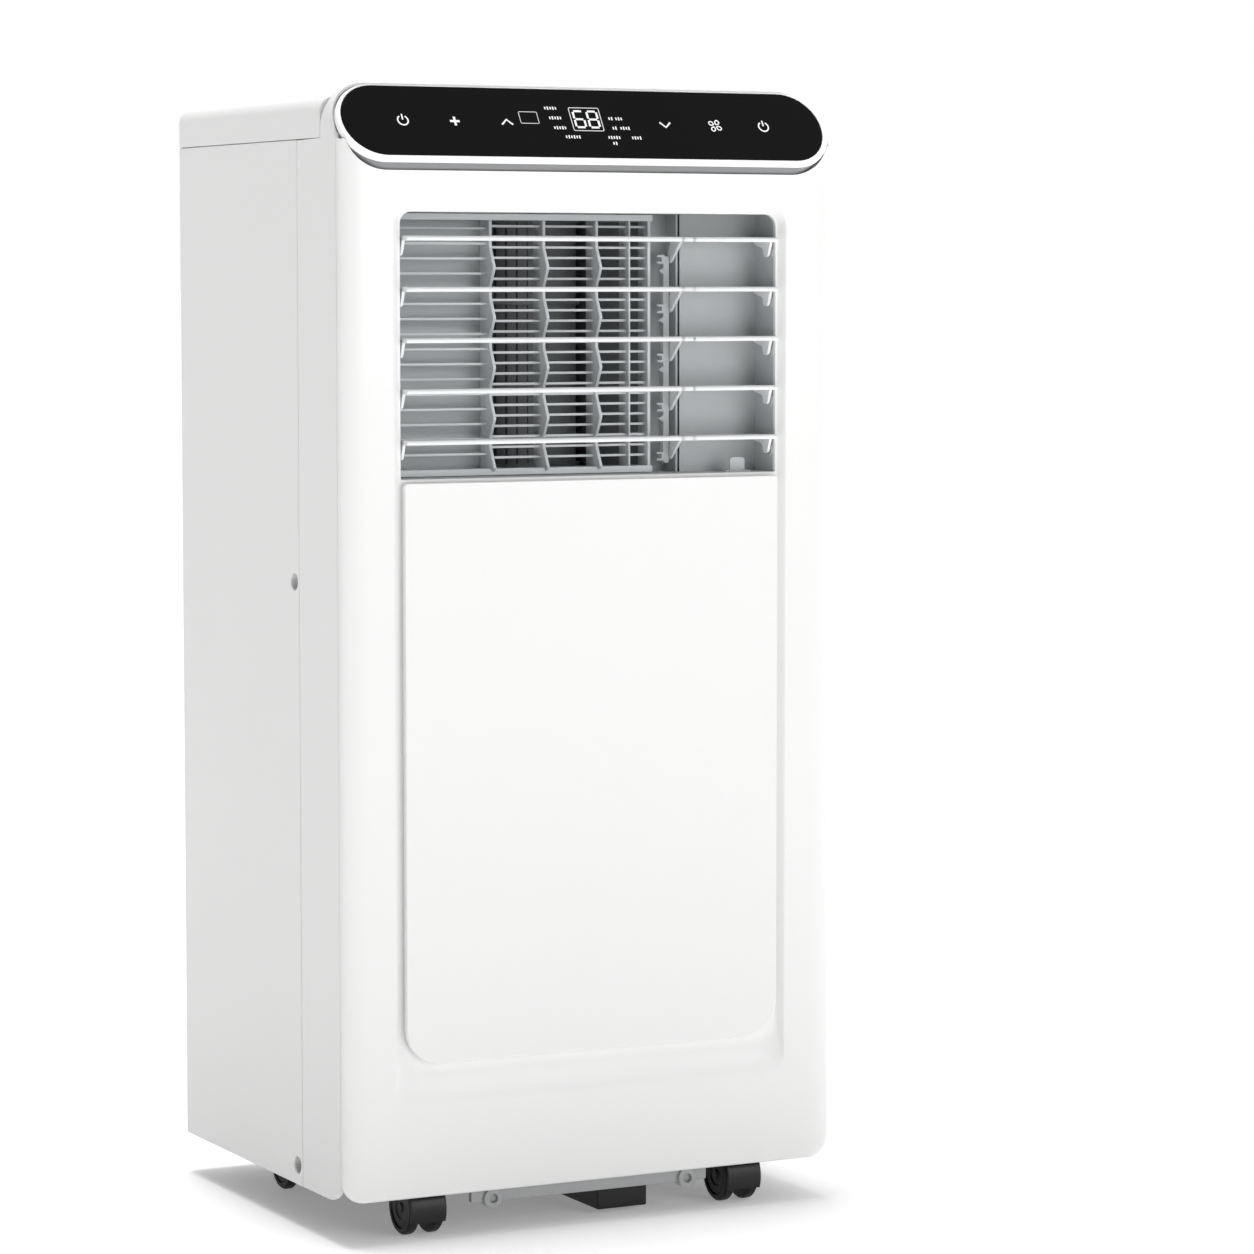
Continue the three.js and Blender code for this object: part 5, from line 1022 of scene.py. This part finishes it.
# ---------------------------------------------------------------- rear wall
class PORTABLE_AC_OT_grilles(bpy.types.Operator):
    """Builds both intake grilles and the woven filter behind the upper one"""

    bl_idname = "portable_ac.grilles"
    bl_label = "Intake grilles and filter"

    def execute(self, context):
        edge = context.scene.ac_sizes.edge / MM
        border, slot, bar, columns = 9, 8, 4, 3
        for node, body in (("upper_intake_grille", "filter_cover"), ("lower_intake_grille", "cabinet")):
            at = span(node)
            width = (at.x1 - at.x0 - border * (columns + 1)) / columns
            rows = int((at.z1 - at.z0 - 2 * border + bar) / (slot + bar))
            spare = (at.z1 - at.z0 - rows * (slot + bar) + bar) / 2
            holes = []
            for i in range(columns * rows):
                x = at.x0 + border + (i % columns) * (width + border)
                z = at.z0 + spare + (i // columns) * (slot + bar)
                holes.append(rounded(x, x + width, z, z + slot, 2.5, steps=3))
            bm, place = bmesh.new(), back_plane((0, at.y1, 0))
            outline = rounded(at.x0, at.x1, at.z0, at.z1, 3)
            plate(bm, place, outline, 0, at.y1 - at.y0, edge, holes)
            if body == "filter_cover":
                for x in (-60, 60):
                    grip = rounded(x - 14, x + 14, at.z1 - 7, at.z1 - 2.5, 1.2)
                    plate(bm, place, grip, -1.6, 1, 0.6)
            add_piece(bm, node + "_moulding", body, "moulded_shell", [node])
        at = span("upper_filter")
        bm, place = bmesh.new(), back_plane((0, at.y1, 0))
        windows = [rounded(x0, x1, at.z0 + 5, at.z1 - 5, 2) for x0, x1 in ((at.x0 + 5, -2), (2, at.x1 - 5))]
        plate(bm, place, rounded(at.x0, at.x1, at.z0, at.z1, 2), 0, at.y1 - at.y0, 0.4, windows)
        step = context.scene.ac_sizes.filter_step / MM
        thread, tucked = 0.3, 4
        x0, x1, z0, z1 = at.x0 + tucked, at.x1 - tucked, at.z0 + tucked, at.z1 - tucked
        for i in range(1, int((x1 - x0) / step)):
            x = x0 + i * step
            plate(bm, place, square(x - thread, x + thread, z0, z1), 0.9, 1.4, 0.05, steps=1)
        for i in range(1, int((z1 - z0) / step)):
            z = z0 + i * step
            plate(bm, place, square(x0, x1, z - thread, z + thread), 1.25, 1.75, 0.05, steps=1)
        add_piece(bm, "upper_filter_net", "filter_cover", "filter_net", ["upper_filter"])
        return {"FINISHED"}


class PORTABLE_AC_OT_fittings(bpy.types.Operator):
    """Turns the exhaust collar, the drain caps and the gland"""

    bl_idname = "portable_ac.fittings"
    bl_label = "Rear fittings"

    def execute(self, context):
        tube, ring_radius, flange = COLLAR_TUBE, 77, (COLLAR.x1 - COLLAR.x0) / 2
        wall = SHELL.y1
        place = front_plane((0, 0, COLLAR.z))
        bm = bmesh.new()
        low, high = wall + GAP, wall + GAP + WALL
        turned(bm, place, [(tube - WALL, COLLAR.y0), (tube, COLLAR.y0), (tube, low), (flange, low),
                           (flange, high), (tube, high), (tube, COLLAR.y1), (tube - WALL, COLLAR.y1)],
               96, True, 0.7)
        for i in range(3):
            lug = rounded(-9, 9, COLLAR.y1 - 5, COLLAR.y1 - 1.5, 1)
            plate(bm, spoke_plane(90 + 120 * i, (0, 0, COLLAR.z)), lug, tube - 1, tube + 2.5, 0.5)
        for i in range(4):
            turn = math.radians(45 + 90 * i)
            boss = front_plane((ring_radius * math.cos(turn), 0, COLLAR.z + ring_radius * math.sin(turn)))
            turned(bm, boss, [(0, wall + 1), (3, wall + 1), (3, wall + 4.2), (0, wall + 4.2)], 24)
        add_piece(bm, "exhaust_collar_moulding", "cabinet", "moulded_shell", ["exhaust_collar"])
        for node in ("upper_drain_cap", "lower_drain_cap"):
            at = span(node)
            radius = (at.x1 - at.x0) / 2
            place = front_plane((at.x, 0, at.z))
            bm = bmesh.new()
            turned(bm, place, [(7.3, at.y0), (radius, at.y0), (radius, at.y0 + 1.6), (radius - 1, at.y0 + 2),
                               (radius - 1, at.y1), (0, at.y1), (0, at.y1 - 2.6), (7.3, at.y1 - 2.6)],
                   40, True)
            for i in range(18):
                rib = rounded(-0.6, 0.6, at.y0 + 1, at.y1 - 1, 0.5, steps=2)
                plate(bm, spoke_plane(20 * i, (at.x, 0, at.z)), rib, radius - 1.6, radius - 0.2, 0.25)
            add_piece(bm, node + "_moulding", node, "rubber_grey", [node])
        at = span("cord_gland")
        place = front_plane((at.x, 0, at.z))
        bm = bmesh.new()
        turned(bm, place, [(3.5, at.y0), (7.6, at.y0), (7.6, wall + GAP), (11, wall + GAP), (11, wall + 3),
                           (8.2, wall + 3.6), (7.6, wall + 4.4), (6.6, at.y1), (3.5, at.y1)], 48, True, 0.5)
        add_piece(bm, "cord_gland_moulding", "cabinet", "rubber_grey", ["cord_gland"])
        return {"FINISHED"}


# ---------------------------------------------------------------- base
class PORTABLE_AC_OT_base(bpy.types.Operator):
    """Rounds the base mouldings and builds the front foot rail"""

    bl_idname = "portable_ac.base"
    bl_label = "Base"

    def execute(self, context):
        for node, edge in (("base_pan", 0.6), ("condensate_basin", 1.2), ("drain_tray", 1.0)):
            refined_copy(node, "moulded_black", edge)
        refined_copy("mid_deck", "duct_shade", 0.5)
        refined_copy("control_box", "moulded_black", 0.6)
        at = span("front_foot_rail")
        bm, place = bmesh.new(), front_plane()
        radius, side, up, hole = 6.2, 66, -5.2, 2.7
        bar = rounded(at.x0, at.x1, at.z0 + 4, at.z1, 1.5)
        plate(bm, place, bar, FRAME.y0, FRAME.y0 + 4, 0.7)
        for way in (-1, 1):
            boss = front_plane((way * side, 0, up))
            turned(bm, boss, [(hole, at.y0), (radius, at.y0), (radius, at.y1), (hole, at.y1)], 40, True, 0.8)
            gusset = eased([(-9, 2.4), (9, 2.4), (5.4, -3), (-5.4, -3)], 1.2)
            plate(bm, boss, gusset, FRAME.y0 + 0.2, FRAME.y0 + 3.8, 0.5)
        add_piece(bm, "front_foot_rail_moulding", "cabinet", "rail_grey", ["front_foot_rail"])
        return {"FINISHED"}


class PORTABLE_AC_OT_casters(bpy.types.Operator):
    """Builds the four casters: hooded forks and twin wheels"""

    bl_idname = "portable_ac.casters"
    bl_label = "Casters"

    def execute(self, context):
        radius, thick, web = 16.5, 7, 4.2
        hood_out, hood_in = 18.4, 17.0
        profile = [(0, 0.5), (2.6, 0.5), (3.2, 1.5), (6.6, 1.5), (7.2, 0.8), (11.4, 0.8), (12.2, 1.3),
                   (13, 0.15), (15.2, 0.15), (radius, 1.6), (radius, thick - 1.4), (15.4, thick), (0, thick)]
        for place_name in ("front_left", "front_right", "rear_left", "rear_right"):
            fork = f"caster_{place_name}_fork"
            left, right = [span(f"caster_{place_name}_wheel_{side}") for side in ("left", "right")]
            x, y, z = (left.x0 + right.x1) / 2, right.y, right.z
            half = right.x1 - x
            bm, place = bmesh.new(), side_plane((x, y, z))
            hood = (arc(0, 0, hood_out, hood_out, 2, 203, 28) + arc(0, 0, hood_in, hood_in, 203, 2, 28))
            plate(bm, place, hood, -half, half, 0.55)
            plate(bm, place, arc(0, 0, 17.6, 17.6, -18, 205, 24), -web, web, 0.4)
            stem = plan_plane((x, y + 10, 0))
            top = span(fork).z1
            turned(bm, stem, [(0, z + 8), (7, z + 8), (7, 9.5), (4, 9.5), (4, top), (0, top)], 32)
            add_piece(bm, fork + "_moulding", fork, "moulded_black", [fork])
            for way, side in ((-1, "left"), (1, "right")):
                node = f"caster_{place_name}_wheel_{side}"
                out = side_plane((x + way * half, y, z), -way)
                bm = bmesh.new()
                turned(bm, out, profile, 56)
                if way < 0:
                    turned(bm, side_plane((x, y, z)), [(0, -half + 2), (2.4, -half + 2), (2.4, half - 1.5),
                                                      (0, half - 1.5)], 20)
                add_piece(bm, node + "_moulding", f"caster_{place_name}_wheels", "tyre_black",
                          [node])
        return {"FINISHED"}


# ---------------------------------------------------------------- stage
CAMERA_AT = (-1.1706, -2.4683, 0.5710)
CAMERA_AIM = (0.0221, -0.1336, 0.3631)
CAMERA_LENS = 124.94
# Each lamp: name, place and aim in metres, size in metres and power in watts.
LAMPS = (("key", (1.4, -3.2, 1.2), (0, 0, 0.15), 1.6, 29), ("top", (-0.2, 0.3, 3.0), (0, 0, 0), 1.2, 62))
# The floor glows between two strengths, over two distances from the machine in metres; its weaker glow near
# the machine is a painted shadow.
FLOOR_GLOW = (0.24, 0.75)
FLOOR_GLOW_REACH = (0.3, 1.5)
SKY_AXIS = (0.72, 0.69, 0)
SKY_STRENGTH = (0.08, 1.0)
SKY_REACH = (-0.8, 0.75)


class PORTABLE_AC_OT_stage(bpy.types.Operator):
    """Lays the floor and sets the lights and the camera"""

    bl_idname = "portable_ac.stage"
    bl_label = "Stage"

    def execute(self, context):
        scene = context.scene
        bm = bmesh.new()
        bmesh.ops.create_grid(bm, x_segments=1, y_segments=1, size=scene.ac_sizes.floor_size / 2)
        mesh = bpy.data.meshes.new("floor")
        bm.to_mesh(mesh)
        bm.free()
        floor = bpy.data.objects.new("floor", mesh)
        scene.collection.objects.link(floor)
        paper, shader = new_finish("floor_paper", (0.93, 0.93, 0.93), 0.9, specular=0.1)
        tree = paper.node_tree
        where = tree.nodes.new("ShaderNodeTexCoord")
        away = tree.nodes.new("ShaderNodeVectorMath")
        away.operation = "LENGTH"
        tree.links.new(where.outputs["Object"], away.inputs[0])
        # Emission grows with distance from the machine: the dimmer floor near it is a painted shadow.
        vary(tree, away.outputs["Value"], shader.inputs["Emission Strength"], *FLOOR_GLOW, *FLOOR_GLOW_REACH)
        shader.inputs["Emission Color"].default_value = (1, 1, 1, 1)
        mesh.materials.append(paper)
        self.light_world(scene)
        for name, at, aim, size, power in LAMPS:
            data = bpy.data.lights.new(name, "AREA")
            data.size = size
            data.energy = power
            self.place(scene, bpy.data.objects.new(name, data), at, aim)
        scene.view_settings.view_transform = "Standard"
        scene.camera = bpy.data.objects.new("camera", bpy.data.cameras.new("camera"))
        scene.camera.data.sensor_width = 36
        scene.camera.data.lens = CAMERA_LENS
        self.place(scene, scene.camera, CAMERA_AT, CAMERA_AIM)
        return {"FINISHED"}

    def light_world(self, scene):
        """A studio sky, white behind the machine and dimmer in front of it and to its left."""
        world = bpy.data.worlds.new("studio")
        scene.world = world
        world.use_nodes = True
        tree = world.node_tree
        where = tree.nodes.new("ShaderNodeTexCoord")
        along = tree.nodes.new("ShaderNodeVectorMath")
        along.operation = "DOT_PRODUCT"
        along.inputs[1].default_value = SKY_AXIS
        tree.links.new(where.outputs["Generated"], along.inputs[0])
        sky = tree.nodes["Background"]
        vary(tree, along.outputs["Value"], sky.inputs["Strength"], *SKY_STRENGTH, *SKY_REACH)
        sky.inputs["Color"].default_value = (1, 1, 1, 1)

    def place(self, scene, thing, at, aim):
        """Links a lamp or the camera at one point, looking at another."""
        thing.location = at
        thing.rotation_euler = (Vector(aim) - Vector(at)).to_track_quat("-Z", "Y").to_euler()
        scene.collection.objects.link(thing)


# ---------------------------------------------------------------- panel and run
OPERATORS = (
    PORTABLE_AC_OT_finishes, PORTABLE_AC_OT_stage, PORTABLE_AC_OT_fascia, PORTABLE_AC_OT_panel,
    PORTABLE_AC_OT_front_frame, PORTABLE_AC_OT_rear_shell, PORTABLE_AC_OT_top_cover, PORTABLE_AC_OT_bezel,
    PORTABLE_AC_OT_marks, PORTABLE_AC_OT_duct, PORTABLE_AC_OT_guard, PORTABLE_AC_OT_louvres,
    PORTABLE_AC_OT_blower, PORTABLE_AC_OT_grilles, PORTABLE_AC_OT_fittings, PORTABLE_AC_OT_base,
    PORTABLE_AC_OT_casters,
)


class PORTABLE_AC_PT_panel(bpy.types.Panel):
    """Lists the sizes, the colours and the pieces"""

    bl_idname = "PORTABLE_AC_PT_panel"
    bl_label = "Portable air conditioner"
    bl_space_type = "VIEW_3D"
    bl_region_type = "UI"
    bl_category = "Air conditioner"

    def draw(self, context):
        for group in (context.scene.ac_looks, context.scene.ac_sizes):
            for name in group.__annotations__:
                self.layout.prop(group, name)
        for operator in OPERATORS:
            self.layout.operator(operator.bl_idname)


CLASSES = (LooksOfFinishes, SizesOfDetails, *OPERATORS, PORTABLE_AC_PT_panel)


def register():
    for each in CLASSES:
        bpy.utils.register_class(each)
    bpy.types.Scene.ac_looks = PointerProperty(type=LooksOfFinishes)
    bpy.types.Scene.ac_sizes = PointerProperty(type=SizesOfDetails)


def unregister():
    del bpy.types.Scene.ac_sizes
    del bpy.types.Scene.ac_looks
    for each in reversed(CLASSES):
        bpy.utils.unregister_class(each)


def main():
    register()
    for operator in OPERATORS:
        group, name = operator.bl_idname.split(".")
        getattr(getattr(bpy.ops, group), name)()


if __name__ == "__main__":
    main()
